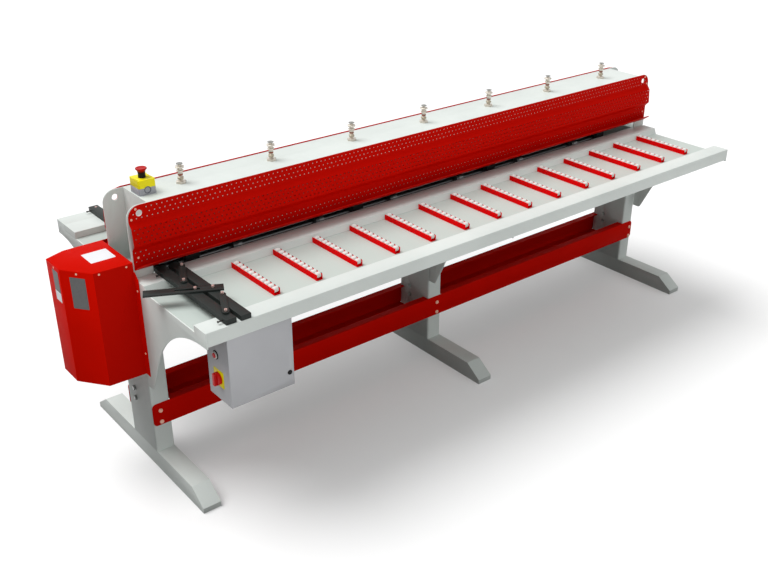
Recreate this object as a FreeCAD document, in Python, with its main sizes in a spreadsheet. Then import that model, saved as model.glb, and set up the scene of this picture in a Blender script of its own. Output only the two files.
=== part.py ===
import FreeCAD, Part
import math
import os
import Sketcher
from FreeCAD import Placement, Rotation, Vector

# Beading machine for long sheets: two driven roll shafts in a long beam on three legs, with a roller table
# in front and behind. Frame: +X along the machine, front at -Y, +Z up, origin on the floor at the centre of
# the middle foot. Millimetres.

# Driving dimensions

DIMENSIONS = {
    "leg_pitch": 1435.0,
    "column_width": 78.0,
    "column_depth": 208.0,
    "column_corner": 9.0,
    "end_column_top": 849.0,
    "middle_column_top": 690.0,
    "foot_half_length": 464.0,
    "foot_end_slope": 81.0,
    "foot_height": 79.0,
    "foot_toe": 22.0,
    "foot_width": 76.0,
    "side_hole_radius": 11.0,
    "side_hole_offset": 34.0,
    "side_hole_low": 270.0,
    "side_hole_high": 317.0,
    "plate": 6.0,
    "beam_plate": 5.0,
    "sheet": 3.0,
    "cover_sheet": 2.0,
    "table_top": 852.0,
    "table_edge": 90.0,
    "step_in": 178.0,
    "step_out": 190.0,
    "pan_drop": 28.0,
    "rim_in": 540.0,
    "rim_out": 620.0,
    "rim_face": 54.0,
    "pass_height": 856.0,
    "rack_first": -1108.4,
    "rack_pitch": 186.6,
    "rack_count": 14,
    "rack_width": 26.0,
    "rack_height": 23.0,
    "rack_wall": 2.0,
    "rack_length": 296.0,
    "rack_gap": 0.5,
    "roller_radius": 11.0,
    "roller_pitch": 27.0,
    "roller_count": 11,
    "beam_top": 1130.0,
    "beam_half_depth": 100.0,
    "beam_web_x": 1390.0,
    "beam_gap_top": 884.0,
    "beam_gap_x": 1395.0,
    "beam_corner": 48.0,
    "lifting_hole_radius": 12.5,
    "lifting_hole_x": 1425.0,
    "lifting_hole_z": 1099.0,
    "trough_floor": 690.0,
    "trough_half_depth": 93.0,
    "shaft_radius": 20.0,
    "shaft_spacing": 90.0,
    "running_gap": 0.05,
    "gear_teeth": 18,
    "gear_width": 25.0,
    "gear_x": -1366.0,
    "station_pitch": 400.0,
    "station_count": 7,
    "stretcher_low": 200.0,
    "stretcher_high": 300.0,
    "stretcher_flange": 33.0,
    "cover_low": 450.0,
    "cover_top": 918.0,
    "box_left": -1397.0,
    "box_width": 260.0,
    "box_front": -617.0,
    "box_depth": 150.0,
    "box_low": 525.0,
    "box_height": 272.5,
    "stop_x": -1351.0,
    "stop_y": 3.0,
    "stop_half_width": 34.0,
    "stop_half_depth": 37.0,
    "stop_seam": 1157.0,
    "stop_top": 1187.0,
    "guide_bar_width": 40.0,
    "guide_bar_height": 20.0,
    "fixed_bar_x": -1371.0,
    "moving_bar_x": -1316.0,
    "pin_offset": 8.0,
    "link_run": 117.0,
    "inner_link_y": -273.0,
    "outer_link_y": -566.0,
    "rod_pin_y": -356.0,
    "rod_joint_y": -384.0,
    "clearance": 0.3,
}

doc = FreeCAD.newDocument("BeadingMachine")
sheet_cells = doc.addObject("Spreadsheet::Sheet", "Sizes")


class Size:
    """A length or a number, held twice: its present value and the sheet expression that makes it."""

    def __init__(self, value, text=None):
        self.value = value
        self.text = text if text is not None else f"({value:.6f})"

    def combine(self, other, sign, value):
        return Size(value, f"({self.text} {sign} {size(other).text})")

    def __add__(self, other):
        return self.combine(other, "+", self.value + size(other).value)

    def __sub__(self, other):
        return self.combine(other, "-", self.value - size(other).value)

    def __mul__(self, other):
        return self.combine(other, "*", self.value * size(other).value)

    def __truediv__(self, other):
        return self.combine(other, "/", self.value / size(other).value)

    def __radd__(self, other):
        return size(other) + self

    def __rsub__(self, other):
        return size(other) - self

    def __rmul__(self, other):
        return size(other) * self

    def __neg__(self):
        return Size(-self.value, f"(0 - {self.text})")


def size(value):
    """Take a bare number or a Size and give a Size."""
    return value if isinstance(value, Size) else Size(float(value))


class Dimensions:
    """The driving dimensions by name, each one a cell of the sheet."""

    def __init__(self, cells):
        for row, (alias, value) in enumerate(cells.items(), start=1):
            sheet_cells.set(f"A{row}", alias.replace("_", " "))
            sheet_cells.set(f"B{row}", str(value))
            sheet_cells.setAlias(f"B{row}", alias)
            setattr(self, alias, Size(float(value), f"Sizes.{alias}"))


d = Dimensions(DIMENSIONS)
doc.recompute()


def bind(thing, path, length):
    thing.setExpression(path, size(length).text)


# Outlines for sketches

class Polygon:
    """A closed outline through corners (u, v) or (u, v, radius); a radius rounds that corner."""

    def __init__(self, corners):
        self.corners = [tuple(size(part) for part in corner) for corner in corners]

    def rounding(self, index):
        """Tangent points, centre and turn of the arc at one corner, from the present values."""
        corner = self.corners[index]
        before = self.corners[index - 1]
        after = self.corners[(index + 1) % len(self.corners)]
        here = Vector(corner[0].value, corner[1].value, 0)
        back = (Vector(before[0].value, before[1].value, 0) - here).normalize()
        ahead = (Vector(after[0].value, after[1].value, 0) - here).normalize()
        half = back.getAngle(ahead) / 2
        radius = corner[2].value
        reach = radius / math.tan(half)
        centre = here + (back + ahead).normalize() * (radius / math.sin(half))
        left_turn = (ahead.cross(back)).z > 0
        return here + back * reach, here + ahead * reach, centre, left_turn

    def draw(self, sketch):
        count = len(self.corners)
        starts = []
        ends = []
        for index, corner in enumerate(self.corners):
            if len(corner) == 3:
                first, second, _, _ = self.rounding(index)
            else:
                first = second = Vector(corner[0].value, corner[1].value, 0)
            ends.append(first)
            starts.append(second)
        lines = [Part.LineSegment(starts[i], ends[(i + 1) % count]) for i in range(count)]
        numbers = list(sketch.addGeometry(lines, False))
        rules = []
        bound = []
        for index, corner in enumerate(self.corners):
            line = numbers[index]
            previous = numbers[index - 1]
            if len(corner) == 3:
                point, point_end = self.round_corner(sketch, index, previous, line, rules, bound)
            else:
                rules.append(Sketcher.Constraint("Coincident", previous, 2, line, 1))
                point, point_end = line, 1
            bound.append((len(rules), corner[0]))
            rules.append(Sketcher.Constraint("DistanceX", -1, 1, point, point_end, corner[0].value))
            bound.append((len(rules), corner[1]))
            rules.append(Sketcher.Constraint("DistanceY", -1, 1, point, point_end, corner[1].value))
        add_rules(sketch, rules, bound)

    def round_corner(self, sketch, index, previous, line, rules, bound):
        corner = self.corners[index]
        first, second, centre, left_turn = self.rounding(index)
        circle = Part.Circle(centre, Vector(0, 0, 1), corner[2].value)
        start, end = (first, second) if left_turn else (second, first)
        angles = [math.atan2(p.y - centre.y, p.x - centre.x) for p in (start, end)]
        arc = sketch.addGeometry(Part.ArcOfCircle(circle, angles[0], angles[1]), False)
        point = sketch.addGeometry(Part.Point(Vector(corner[0].value, corner[1].value, 0)), True)
        into, out = (1, 2) if left_turn else (2, 1)
        rules.append(Sketcher.Constraint("Tangent", previous, 2, arc, into))
        rules.append(Sketcher.Constraint("Tangent", arc, out, line, 1))
        rules.append(Sketcher.Constraint("PointOnObject", point, 1, previous))
        rules.append(Sketcher.Constraint("PointOnObject", point, 1, line))
        bound.append((len(rules), corner[2]))
        rules.append(Sketcher.Constraint("Radius", arc, corner[2].value))
        return point, 1


class Circle:
    """A round outline."""

    def __init__(self, u, v, radius):
        self.u = size(u)
        self.v = size(v)
        self.radius = size(radius)

    def draw(self, sketch):
        centre = Vector(self.u.value, self.v.value, 0)
        circle = sketch.addGeometry(Part.Circle(centre, Vector(0, 0, 1), self.radius.value), False)
        rules = [
            Sketcher.Constraint("DistanceX", -1, 1, circle, 3, self.u.value),
            Sketcher.Constraint("DistanceY", -1, 1, circle, 3, self.v.value),
            Sketcher.Constraint("Radius", circle, self.radius.value),
        ]
        add_rules(sketch, rules, list(enumerate((self.u, self.v, self.radius))))


def add_rules(sketch, rules, bound):
    """Add constraints, and tie those with a size to the sheet."""
    numbers = sketch.addConstraint(rules)
    for position, length in bound:
        sketch.setExpression(f"Constraints[{numbers[position]}]", length.text)


def rectangle(u_low, u_high, v_low, v_high, radius=None):
    rounding = () if radius is None else (radius,)
    corners = [(u_low, v_low), (u_high, v_low), (u_high, v_high), (u_low, v_high)]
    return Polygon([corner + rounding for corner in corners])


def regular(u, v, across_flats, sides, turn=0.0):
    """A regular polygon, given across its flats."""
    radius = size(across_flats) / (2 * math.cos(math.pi / sides))
    angles = [turn + 2 * math.pi * i / sides for i in range(sides)]
    return Polygon([(u + radius * math.cos(a), v + radius * math.sin(a)) for a in angles])


def bent_sheet(path, thickness):
    """The cross-section of a sheet folded along a path, with the thickness laid on its left side."""
    points = [(size(u), size(v)) for u, v in path]
    steps = []
    for (u, v), (next_u, next_v) in zip(points, points[1:]):
        step = Vector(next_u.value - u.value, next_v.value - v.value, 0)
        steps.append(step.normalize())
    inner = []
    for index, (u, v) in enumerate(points):
        before = steps[max(index - 1, 0)]
        after = steps[min(index, len(steps) - 1)]
        sides = Vector(-before.y, before.x, 0) + Vector(-after.y, after.x, 0)
        across = sides * (2 / sides.dot(sides))
        inner.append((u + thickness * across.x, v + thickness * across.y))
    return Polygon(points + inner[::-1])


# Ways to make a solid

class Piece:
    """One sub-part as a PartDesign body, built on its own base planes."""

    def __init__(self, label):
        self.body = doc.addObject("PartDesign::Body", label)
        self.body.Label = label

    def origin_feature(self, role):
        return next(item for item in self.body.Origin.OriginFeatures if item.Role == role)

    def sketch(self, plane, outlines, level):
        sketch = self.body.newObject("Sketcher::SketchObject", f"{self.body.Name}_sketch")
        sketch.AttachmentSupport = [(self.origin_feature(f"{plane}_Plane"), "")]
        sketch.MapMode = "FlatFace"
        bind(sketch, "AttachmentOffset.Base.z", -size(level) if plane == "XZ" else level)
        for outline in outlines:
            outline.draw(sketch)
        return sketch

    def pad(self, plane, outlines, low, high):
        """Add material between two levels along the plane's axis; the XZ plane's sketch looks along -Y."""
        start = high if plane == "XZ" else low
        feature = self.body.newObject("PartDesign::Pad", f"{self.body.Name}_pad")
        feature.Profile = self.sketch(plane, outlines, start)
        bind(feature, "Length", size(high) - low)
        return feature

    def pocket(self, plane, outlines, low, high):
        """Cut material between two levels along the plane's axis."""
        start = low if plane == "XZ" else high
        profile = self.sketch(plane, outlines, start)
        feature = self.body.newObject("PartDesign::Pocket", f"{self.body.Name}_pocket")
        feature.Profile = profile
        bind(feature, "Length", size(high) - low)
        return feature

    def revolve(self, plane, outline, axis):
        """Turn an outline about one of the sketch's axes through the origin."""
        profile = self.sketch(plane, [outline], 0)
        feature = self.body.newObject("PartDesign::Revolution", f"{self.body.Name}_turn")
        feature.Profile = profile
        feature.ReferenceAxis = (profile, [axis])
        feature.Angle = 360
        return feature

    def repeat(self, feature, axis, pitch, count, second_axis=None, second_pitch=0, second_count=1):
        """Repeat a feature in a row, or in rows along two axes."""
        pattern = self.body.newObject("PartDesign::LinearPattern", f"{self.body.Name}_row")
        pattern.Originals = [feature]
        pattern.Mode = "Spacing"
        pattern.Direction = (self.origin_feature(f"{axis}_Axis"), [""])
        bind(pattern, "Offset", pitch)
        bind(pattern, "Occurrences", count)
        if second_axis is not None:
            pattern.Mode2 = "Extent"
            pattern.Direction2 = (self.origin_feature(f"{second_axis}_Axis"), [""])
            bind(pattern, "Length2", second_pitch * (second_count - 1))
            bind(pattern, "Occurrences2", second_count)
        self.body.Tip = pattern
        return pattern

    def move(self, x=0, y=0, z=0):
        for axis, offset in (("x", x), ("y", y), ("z", z)):
            bind(self.body, f"Placement.Base.{axis}", offset)
        return self.body


nodes = []


def node(thing, label=None):
    """Keep a finished sub-part; its label names its file."""
    thing = thing.body if isinstance(thing, Piece) else thing
    if label is not None:
        thing.Label = label
    nodes.append(thing)
    return thing


def place(thing, base, axis):
    thing.Placement = Placement(Vector(), Rotation(Vector(0, 0, 1), Vector(*axis)))
    for name, offset in zip("xyz", base):
        bind(thing, f"Placement.Base.{name}", offset)
    return thing


def box(name, x, y, z):
    """A block between low and high values along each axis."""
    piece = doc.addObject("Part::Box", name)
    for side, (low, high) in zip(("Length", "Width", "Height"), (x, y, z)):
        bind(piece, side, size(high) - low)
    return place(piece, (x[0], y[0], z[0]), (0, 0, 1))


def cylinder(name, base, axis, radius, length):
    piece = doc.addObject("Part::Cylinder", name)
    bind(piece, "Radius", radius)
    bind(piece, "Height", length)
    return place(piece, base, axis)


def hexagon(name, base, axis, across_flats, length):
    piece = doc.addObject("Part::Prism", name)
    piece.Polygon = 6
    bind(piece, "Circumradius", size(across_flats) / math.sqrt(3))
    bind(piece, "Height", length)
    return place(piece, base, axis)


def group(label, pieces):
    """Separate solids that share one node."""
    together = doc.addObject("Part::Compound", label)
    together.Links = pieces
    return together


def fuse(label, pieces):
    joined = doc.addObject("Part::MultiFuse", label)
    joined.Shapes = pieces
    return joined


def mirror(label, source):
    """The same piece on the other side of the machine's long centre plane."""
    copy = doc.addObject("Part::Mirroring", label)
    copy.Source = source
    copy.Base = Vector(0, 0, 0)
    copy.Normal = Vector(0, 1, 0)
    return copy


# Sizes worked out from the driving dimensions

half_column = d.column_width / 2
half_depth = d.column_depth / 2
outer_face = d.leg_pitch + half_column
table_end = outer_face - d.plate
pan_top = d.table_top - d.pan_drop
pan_bottom = pan_top - d.sheet
rim_bottom = d.table_top - d.rim_face
shaft_low = d.pass_height - d.shaft_spacing / 2
shaft_high = d.pass_height + d.shaft_spacing / 2
station_x = [d.station_pitch * (k - 3) for k in range(DIMENSIONS["station_count"])]
roll_x = [d.station_pitch * (k - 2.5) for k in range(DIMENSIONS["station_count"] - 1)]
bar_bottom = d.table_top + d.clearance
link_bottom = d.table_top + d.guide_bar_height + d.clearance


# Legs: a box-section column welded on a foot with sloping toes

def leg(label, x, column_top, holes):
    piece = Piece(label)
    heel = d.foot_half_length
    instep = heel - d.foot_end_slope
    foot = Polygon([
        (-heel, 0), (heel, 0), (heel, d.foot_toe), (instep, d.foot_height),
        (-instep, d.foot_height), (-heel, d.foot_toe),
    ])
    piece.pad("YZ", [foot], x - d.foot_width / 2, x + d.foot_width / 2)
    section = rectangle(x - half_column, x + half_column, -half_depth, half_depth, d.column_corner)
    piece.pad("XY", [section], d.foot_height, column_top)
    if holes:
        bores = [Circle(d.side_hole_offset, z, d.side_hole_radius) for z in (d.side_hole_low, d.side_hole_high)]
        piece.pocket("YZ", bores, x - half_column, x + half_column)
    return piece


DRIVE_BORE = 30.0


def legs():
    left = leg("left_leg", -d.leg_pitch, d.end_column_top, False)
    left.pocket("YZ", [Circle(0, shaft_low, DRIVE_BORE)], -outer_face, -outer_face + d.column_width)
    node(left)
    node(leg("middle_leg", size(0), d.middle_column_top, True))
    node(leg("right_leg", d.leg_pitch, d.end_column_top, True))


# Arched brackets that carry the tables from the columns

BRACKET_TIP = 395.0
BRACKET_TIP_OUT = 146.0
BRACKET_TIP_RADIUS = 14.0
ARCH_CORNER_Y = 338.0
ARCH_RADIUS = 425.0
ARCH_DROP = 7.0


def bracket(name, x_low, drop, rim_gap):
    """A plate whose top follows the table sheet, drop below its upper face."""
    top = d.table_top - drop
    pan = pan_top - drop
    slope_shift = drop * 2 / 3
    arch_top = rim_bottom - ARCH_DROP
    piece = Piece(name)
    outline = Polygon([
        (-half_depth, BRACKET_TIP), (-half_depth, top), (-d.step_in + slope_shift, top),
        (-d.step_out + slope_shift, pan), (-d.rim_in - drop, pan), (-d.rim_in - drop, top),
        (-d.rim_out + rim_gap, top), (-d.rim_out + rim_gap, arch_top),
        (-ARCH_CORNER_Y, arch_top, ARCH_RADIUS),
        (-BRACKET_TIP_OUT, BRACKET_TIP, BRACKET_TIP_RADIUS),
    ])
    piece.pad("YZ", [outline], x_low, x_low + d.plate)
    return piece.body


def brackets():
    left = bracket("bracket_left", -outer_face, size(0), size(0))
    middle = bracket("bracket_middle", -half_column, d.sheet, d.sheet)
    right = bracket("bracket_right", table_end, size(0), size(0))
    front = node(group("front_brackets", [left, middle, right]))
    node(mirror("rear_brackets", front))


# Folded tables with a sunk pan and a raised rim

def tables():
    piece = Piece("front_table")
    path = [
        (-d.rim_out, rim_bottom), (-d.rim_out, d.table_top), (-d.rim_in, d.table_top),
        (-d.rim_in, pan_top), (-d.step_out, pan_top), (-d.step_in, d.table_top),
        (-d.table_edge, d.table_top),
    ]
    piece.pad("YZ", [bent_sheet(path, -d.sheet)], -table_end, table_end)
    front = node(piece)
    node(mirror("rear_table", front))


# Racks: channels across the pan, each with a row of rollers between its flanges

def racks():
    inner_end = -d.step_out - d.rack_gap
    channel = Piece("front_racks")
    left = d.rack_first - d.rack_width / 2
    right = d.rack_first + d.rack_width / 2
    section = Polygon([
        (left, pan_top), (right, pan_top), (right, pan_top + d.rack_height),
        (right - d.rack_wall, pan_top + d.rack_height), (right - d.rack_wall, pan_top + d.rack_wall),
        (left + d.rack_wall, pan_top + d.rack_wall), (left + d.rack_wall, pan_top + d.rack_height),
        (left, pan_top + d.rack_height),
    ])
    first = channel.pad("XZ", [section], inner_end - d.rack_length, inner_end)
    channel.repeat(first, "X", d.rack_pitch, d.rack_count)
    front = node(channel)
    node(mirror("rear_racks", front))


ROLLER_SIDES = 8
ROLLER_ABOVE_TABLE = 0.5


def rack_rollers():
    """Rollers as prisms of a few sides, their upper flats just above the table's flat."""
    inner_end = -d.step_out - d.rack_gap
    row_length = d.roller_pitch * (d.roller_count - 1)
    first_y = inner_end - d.rack_length + (d.rack_length - row_length) / 2
    rollers = Piece("front_rack_rollers")
    axle_z = d.table_top + ROLLER_ABOVE_TABLE - d.roller_radius
    outline = regular(first_y, axle_z, d.roller_radius * 2, ROLLER_SIDES, math.pi / ROLLER_SIDES)
    half_width = d.rack_width / 2 - d.rack_wall
    first = rollers.pad("YZ", [outline], d.rack_first - half_width, d.rack_first + half_width)
    rollers.repeat(first, "X", d.rack_pitch, d.rack_count, "Y", d.roller_pitch, d.roller_count)
    node(rollers)


# Beams: an open trough below the pass line and a closed box above it

ADJUSTER_NECK = 20.0


def lower_beam():
    inner = d.trough_half_depth - d.beam_plate
    end = outer_face - d.column_width
    floor = d.trough_floor + d.beam_plate
    wall_top = d.table_top - d.sheet
    trough = Piece("lower_beam")
    section = Polygon([
        (-d.trough_half_depth, d.trough_floor), (d.trough_half_depth, d.trough_floor),
        (d.trough_half_depth, wall_top), (inner, wall_top), (inner, floor),
        (-inner, floor), (-inner, wall_top), (-d.trough_half_depth, wall_top),
    ])
    trough.pad("YZ", [section], -end, end)
    node(trough)


def beam_side():
    """Outline of a side plate: rounded upper corners, ends that reach down to the table."""
    return Polygon([
        (-outer_face, d.table_top), (-d.beam_gap_x, d.table_top), (-d.beam_gap_x, d.beam_gap_top),
        (d.beam_gap_x, d.beam_gap_top), (d.beam_gap_x, d.table_top), (outer_face, d.table_top),
        (outer_face, d.beam_top, d.beam_corner), (-outer_face, d.beam_top, d.beam_corner),
    ])


def lifting_holes():
    return [Circle(x, d.lifting_hole_z, d.lifting_hole_radius) for x in (-d.lifting_hole_x, d.lifting_hole_x)]


def upper_beam():
    beam = Piece("upper_beam")
    inner = d.beam_half_depth - d.beam_plate
    beam.pad("XZ", [beam_side()] + lifting_holes(), -d.beam_half_depth, -inner)
    under_top = d.beam_top - d.beam_plate
    top = rectangle(-d.beam_web_x, d.beam_web_x, under_top, d.beam_top)
    left_web = rectangle(-d.beam_web_x, -d.beam_web_x + d.beam_plate, d.beam_gap_top, under_top)
    right_web = rectangle(d.beam_web_x - d.beam_plate, d.beam_web_x, d.beam_gap_top, under_top)
    for plate in (top, left_web, right_web):
        beam.pad("XZ", [plate], -inner, inner)
    beam.pad("XZ", [beam_side()] + lifting_holes(), inner, d.beam_half_depth)
    half = ADJUSTER_NECK / 2
    holes = [rectangle(x - half, x + half, -half, half) for x in station_x]
    beam.pocket("XY", holes, under_top, d.beam_top)
    node(beam)


# Drive: a geared motor in the end cover turns the lower shaft, which turns the upper one through gears

GEARBOX_LEFT = -1626.0
GEARBOX_RIGHT = -1516.0
GEARBOX_FRONT = -62.0
GEARBOX_BACK = 78.0
GEARBOX_BELOW = 66.0
GEARBOX_ABOVE = 62.0
GEARBOX_CORNER = 20.0
MOTOR_X = -1571.0
MOTOR_Y = 45.0
MOTOR_RADIUS = 68.0
MOTOR_NECK_RADIUS = 60.0
MOTOR_LOW = 480.0
BEARING_FLANGE = 42.0
FLANGE_THICKNESS = 12.0


def drive():
    running = Circle(0, shaft_low, d.shaft_radius + d.running_gap)
    flange_end = GEARBOX_RIGHT + FLANGE_THICKNESS
    underside = shaft_low - GEARBOX_BELOW
    housing = Piece("gearbox")
    body = rectangle(GEARBOX_FRONT, GEARBOX_BACK, underside, shaft_low + GEARBOX_ABOVE, GEARBOX_CORNER)
    housing.pad("YZ", [body], GEARBOX_LEFT, GEARBOX_RIGHT)
    housing.pad("YZ", [Circle(0, shaft_low, BEARING_FLANGE)], GEARBOX_RIGHT, flange_end)
    housing.pocket("YZ", [running], GEARBOX_LEFT, flange_end)
    node(housing)
    motor = Piece("motor")
    neck = underside - FLANGE_THICKNESS
    motor.pad("XY", [Circle(MOTOR_X, MOTOR_Y, MOTOR_NECK_RADIUS)], neck, underside)
    motor.pad("XY", [Circle(MOTOR_X, MOTOR_Y, MOTOR_RADIUS)], MOTOR_LOW, neck)
    node(motor)
    bearing = Piece("drive_bearing")
    bearing.pad("YZ", [Circle(0, shaft_low, DRIVE_BORE), running], -outer_face, -outer_face + d.column_width)
    node(bearing)


TOOTH_DEPTH = 1.2
TOOTH_HEIGHT = 0.9
ROOT_SHARE = 0.36
TIP_SHARE = 0.12
SHAFT_FIT = 0.02


def gear(label, shaft_z, turn):
    """A spur gear with straight-sided teeth on the pitch circle of half the shaft spacing."""
    teeth = DIMENSIONS["gear_teeth"]
    pitch_radius = d.shaft_spacing / 2
    module = d.shaft_spacing / teeth
    root = pitch_radius - module * TOOTH_DEPTH
    tip = pitch_radius + module * TOOTH_HEIGHT
    step = 2 * math.pi / teeth
    corners = []
    for tooth in range(teeth):
        centre = turn + tooth * step
        for radius, share in ((root, -ROOT_SHARE), (tip, -TIP_SHARE), (tip, TIP_SHARE), (root, ROOT_SHARE)):
            angle = centre + share * step
            corners.append((radius * math.cos(angle), shaft_z + radius * math.sin(angle)))
    wheel = Piece(label)
    bore = Circle(0, shaft_z, d.shaft_radius + SHAFT_FIT)
    wheel.pad("YZ", [Polygon(corners), bore], d.gear_x, d.gear_x + d.gear_width)
    node(wheel)


def gears():
    half_step = math.pi / DIMENSIONS["gear_teeth"]
    gear("lower_gear", shaft_low, math.pi / 2)
    gear("upper_gear", shaft_high, -math.pi / 2 + half_step)


SHAFT_PAST_GEARBOX = 6.0
SHAFT_PAST_GEAR = 8.0
SHAFT_PAST_STATION = 45.0


def shafts():
    start = size(GEARBOX_LEFT) - SHAFT_PAST_GEARBOX
    end = station_x[-1] + SHAFT_PAST_STATION
    node(cylinder("lower_shaft", (start, 0, shaft_low), (1, 0, 0), d.shaft_radius, end - start))
    start = d.gear_x - SHAFT_PAST_GEAR
    node(cylinder("upper_shaft", (start, 0, shaft_high), (1, 0, 0), d.shaft_radius, end - start))


ROLL_HALF_WIDTH = 20.0
GROOVE_DEPTH = 5.0
BEAD_HALF_WIDTH = 10.0
BEAD_REACH = 3.0
BEAD_SHOULDER = 38.0


def rolls():
    """Grooved rolls below and ridged rolls above, one pair between each two stations."""
    bore = d.shaft_radius + SHAFT_FIT
    rim = d.shaft_spacing / 2
    start = roll_x[0]
    lower = Piece("lower_rolls")
    half = ROLL_HALF_WIDTH
    groove = Polygon([
        (start - half, bore), (start + half, bore), (start + half, rim),
        (start, rim - GROOVE_DEPTH), (start - half, rim),
    ])
    first = lower.revolve("XZ", groove, "H_Axis")
    lower.repeat(first, "X", d.station_pitch, d.station_count - 1)
    lower.move(z=shaft_low)
    node(lower)
    upper = Piece("upper_rolls")
    half = BEAD_HALF_WIDTH
    ridge = Polygon([
        (start - half, bore), (start + half, bore), (start + half, BEAD_SHOULDER),
        (start, rim + BEAD_REACH), (start - half, BEAD_SHOULDER),
    ])
    first = upper.revolve("XZ", ridge, "H_Axis")
    upper.repeat(first, "X", d.station_pitch, d.station_count - 1)
    upper.move(z=shaft_high)
    node(upper)


BLOCK_HALF_WIDTH = 28.0
BLOCK_HALF_DEPTH = 38.0
UPPER_BLOCK_LOW = 864.0
PRESSURE_BAR_LOW = 956.0
PRESSURE_BAR_HIGH = 972.0
PRESSURE_BAR_HALF_DEPTH = 35.0
PRESSURE_BAR_PAST_STATION = 40.0
LOWER_BLOCK_TOP = 848.0


def bearings():
    bore = d.shaft_radius + d.running_gap
    lower = Piece("lower_bearings")
    start = station_x[0]
    floor = d.trough_floor + d.beam_plate
    section = [rectangle(-BLOCK_HALF_DEPTH, BLOCK_HALF_DEPTH, floor, LOWER_BLOCK_TOP), Circle(0, shaft_low, bore)]
    first = lower.pad("YZ", section, start - BLOCK_HALF_WIDTH, start + BLOCK_HALF_WIDTH)
    lower.repeat(first, "X", d.station_pitch * 2, 4)
    node(lower)
    upper = Piece("upper_bearings")
    section = [rectangle(-BLOCK_HALF_DEPTH, BLOCK_HALF_DEPTH, UPPER_BLOCK_LOW, PRESSURE_BAR_LOW),
               Circle(0, shaft_high, bore)]
    first = upper.pad("YZ", section, start - BLOCK_HALF_WIDTH, start + BLOCK_HALF_WIDTH)
    upper.repeat(first, "X", d.station_pitch, d.station_count)
    node(upper)
    reach = station_x[-1] + PRESSURE_BAR_PAST_STATION
    half_bar = PRESSURE_BAR_HALF_DEPTH
    node(box("pressure_bar", (-reach, reach), (-half_bar, half_bar), (PRESSURE_BAR_LOW, PRESSURE_BAR_HIGH)))


# Adjusting screws on top of the beam, each through its own bush

SCREW_RADIUS = 8.5
BUSH_FLATS = 34.0
BUSH_TOP = 8.0
SCREW_SHANK_TOP = 37.0
# Heights above the beam, width across flats and number of sides of what sits on each screw
SCREW_PARTS = (
    (16.0, 25.0, 24.0, 6), (37.0, 61.0, 19.0, 6), (45.0, 53.0, 26.0, 6), (61.0, 72.0, 30.0, 6),
    (72.0, 77.0, 13.0, 8), (77.0, 86.0, 21.5, 8),
)


def adjusters():
    top = d.beam_top
    neck = ADJUSTER_NECK / 2
    bush = Piece("adjuster_bushes")
    x = station_x[0]
    bore = Circle(x, 0, SCREW_RADIUS + d.running_gap)
    flange = bush.pad("XY", [regular(x, 0, BUSH_FLATS, 6)], top, top + BUSH_TOP)
    square = bush.pad("XY", [rectangle(x - neck, x + neck, -neck, neck)], top - d.beam_plate, top)
    hole = bush.pocket("XY", [bore], top - d.beam_plate, top + BUSH_TOP)
    pattern = bush.repeat(flange, "X", d.station_pitch, d.station_count)
    pattern.Originals = [flange, square, hole]
    node(bush)
    for number, x in enumerate(station_x, start=1):
        screw = Piece(f"adjusting_screw_{number}")
        screw.pad("XY", [Circle(x, 0, SCREW_RADIUS)], PRESSURE_BAR_HIGH, top + SCREW_SHANK_TOP)
        for low, high, flats, sides in SCREW_PARTS:
            screw.pad("XY", [regular(x, 0, flats, sides)], top + low, top + high)
        node(screw)


# Guards: folded sheets in front of and behind the beam, which a thin gap leaves open above the table

GUARD_PATH_OUT = ((0.0, 1070.0), (16.0, 1050.0), (22.0, 982.0), (1.0, 960.0), (1.0, 886.0), (47.0, 919.0))


def guards():
    outer = -d.beam_half_depth - d.cover_sheet
    path = [(outer, d.beam_top)] + [(outer - reach, z) for reach, z in GUARD_PATH_OUT]
    piece = Piece("front_guard")
    piece.pad("YZ", [bent_sheet(path, d.cover_sheet)], -table_end, table_end)
    deep = -d.beam_half_depth - 60
    below = d.table_top
    around = rectangle(-outer_face, outer_face, below, d.beam_top + 10)
    kept = Polygon([
        (-table_end, below + 10), (table_end, below + 10),
        (table_end, d.beam_top, d.beam_corner), (-table_end, d.beam_top, d.beam_corner),
    ])
    piece.pocket("XZ", [around, kept], deep, -d.beam_half_depth)
    piece.pocket("XZ", lifting_holes(), deep, -d.beam_half_depth)
    front = node(piece)
    node(mirror("rear_guard", front))


# Stretchers: channels bolted outside the columns, their flanges cut away where they pass them

STRETCHER_SHEET = 3.0
STRETCHER_END = 18.0
COPE = 3.0


def stretchers():
    web_out = -half_depth - STRETCHER_SHEET
    piece = Piece("front_stretcher")
    web = rectangle(-outer_face, outer_face, d.stretcher_low, d.stretcher_high, STRETCHER_END)
    piece.pad("XZ", [web], web_out, -half_depth)
    flanges = []
    near = half_column + COPE
    far = d.leg_pitch - half_column - COPE
    for x_low, x_high in ((-far, -near), (near, far)):
        for z_low, z_high in ((d.stretcher_low, d.stretcher_low + STRETCHER_SHEET),
                              (d.stretcher_high - STRETCHER_SHEET, d.stretcher_high)):
            flanges.append(rectangle(x_low, x_high, z_low, z_high))
    piece.pad("XZ", flanges, -half_depth, -half_depth + d.stretcher_flange)
    front = node(piece)
    node(mirror("rear_stretcher", front))


BOLT_FLATS = 19.0
BOLT_HEAD = 8.0
BOLT_X = (-1440.0, 13.0, 1455.0)
BOLT_Z = (214.0, 266.0)


def frame_bolts():
    heads = []
    face = half_depth + STRETCHER_SHEET
    for side in (-1, 1):
        for x in BOLT_X:
            for z in BOLT_Z:
                name = f"stretcher_bolt_{len(heads) + 1}"
                heads.append(hexagon(name, (x, face * side, z), (0, side, 0), BOLT_FLATS, BOLT_HEAD))
    for z in (d.side_hole_low, d.side_hole_high):
        name = f"column_bolt_{len(heads) + 1}"
        heads.append(hexagon(name, (-outer_face, d.side_hole_offset, z), (-1, 0, 0), BOLT_FLATS, BOLT_HEAD))
    node(group("frame_bolts", heads))


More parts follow.
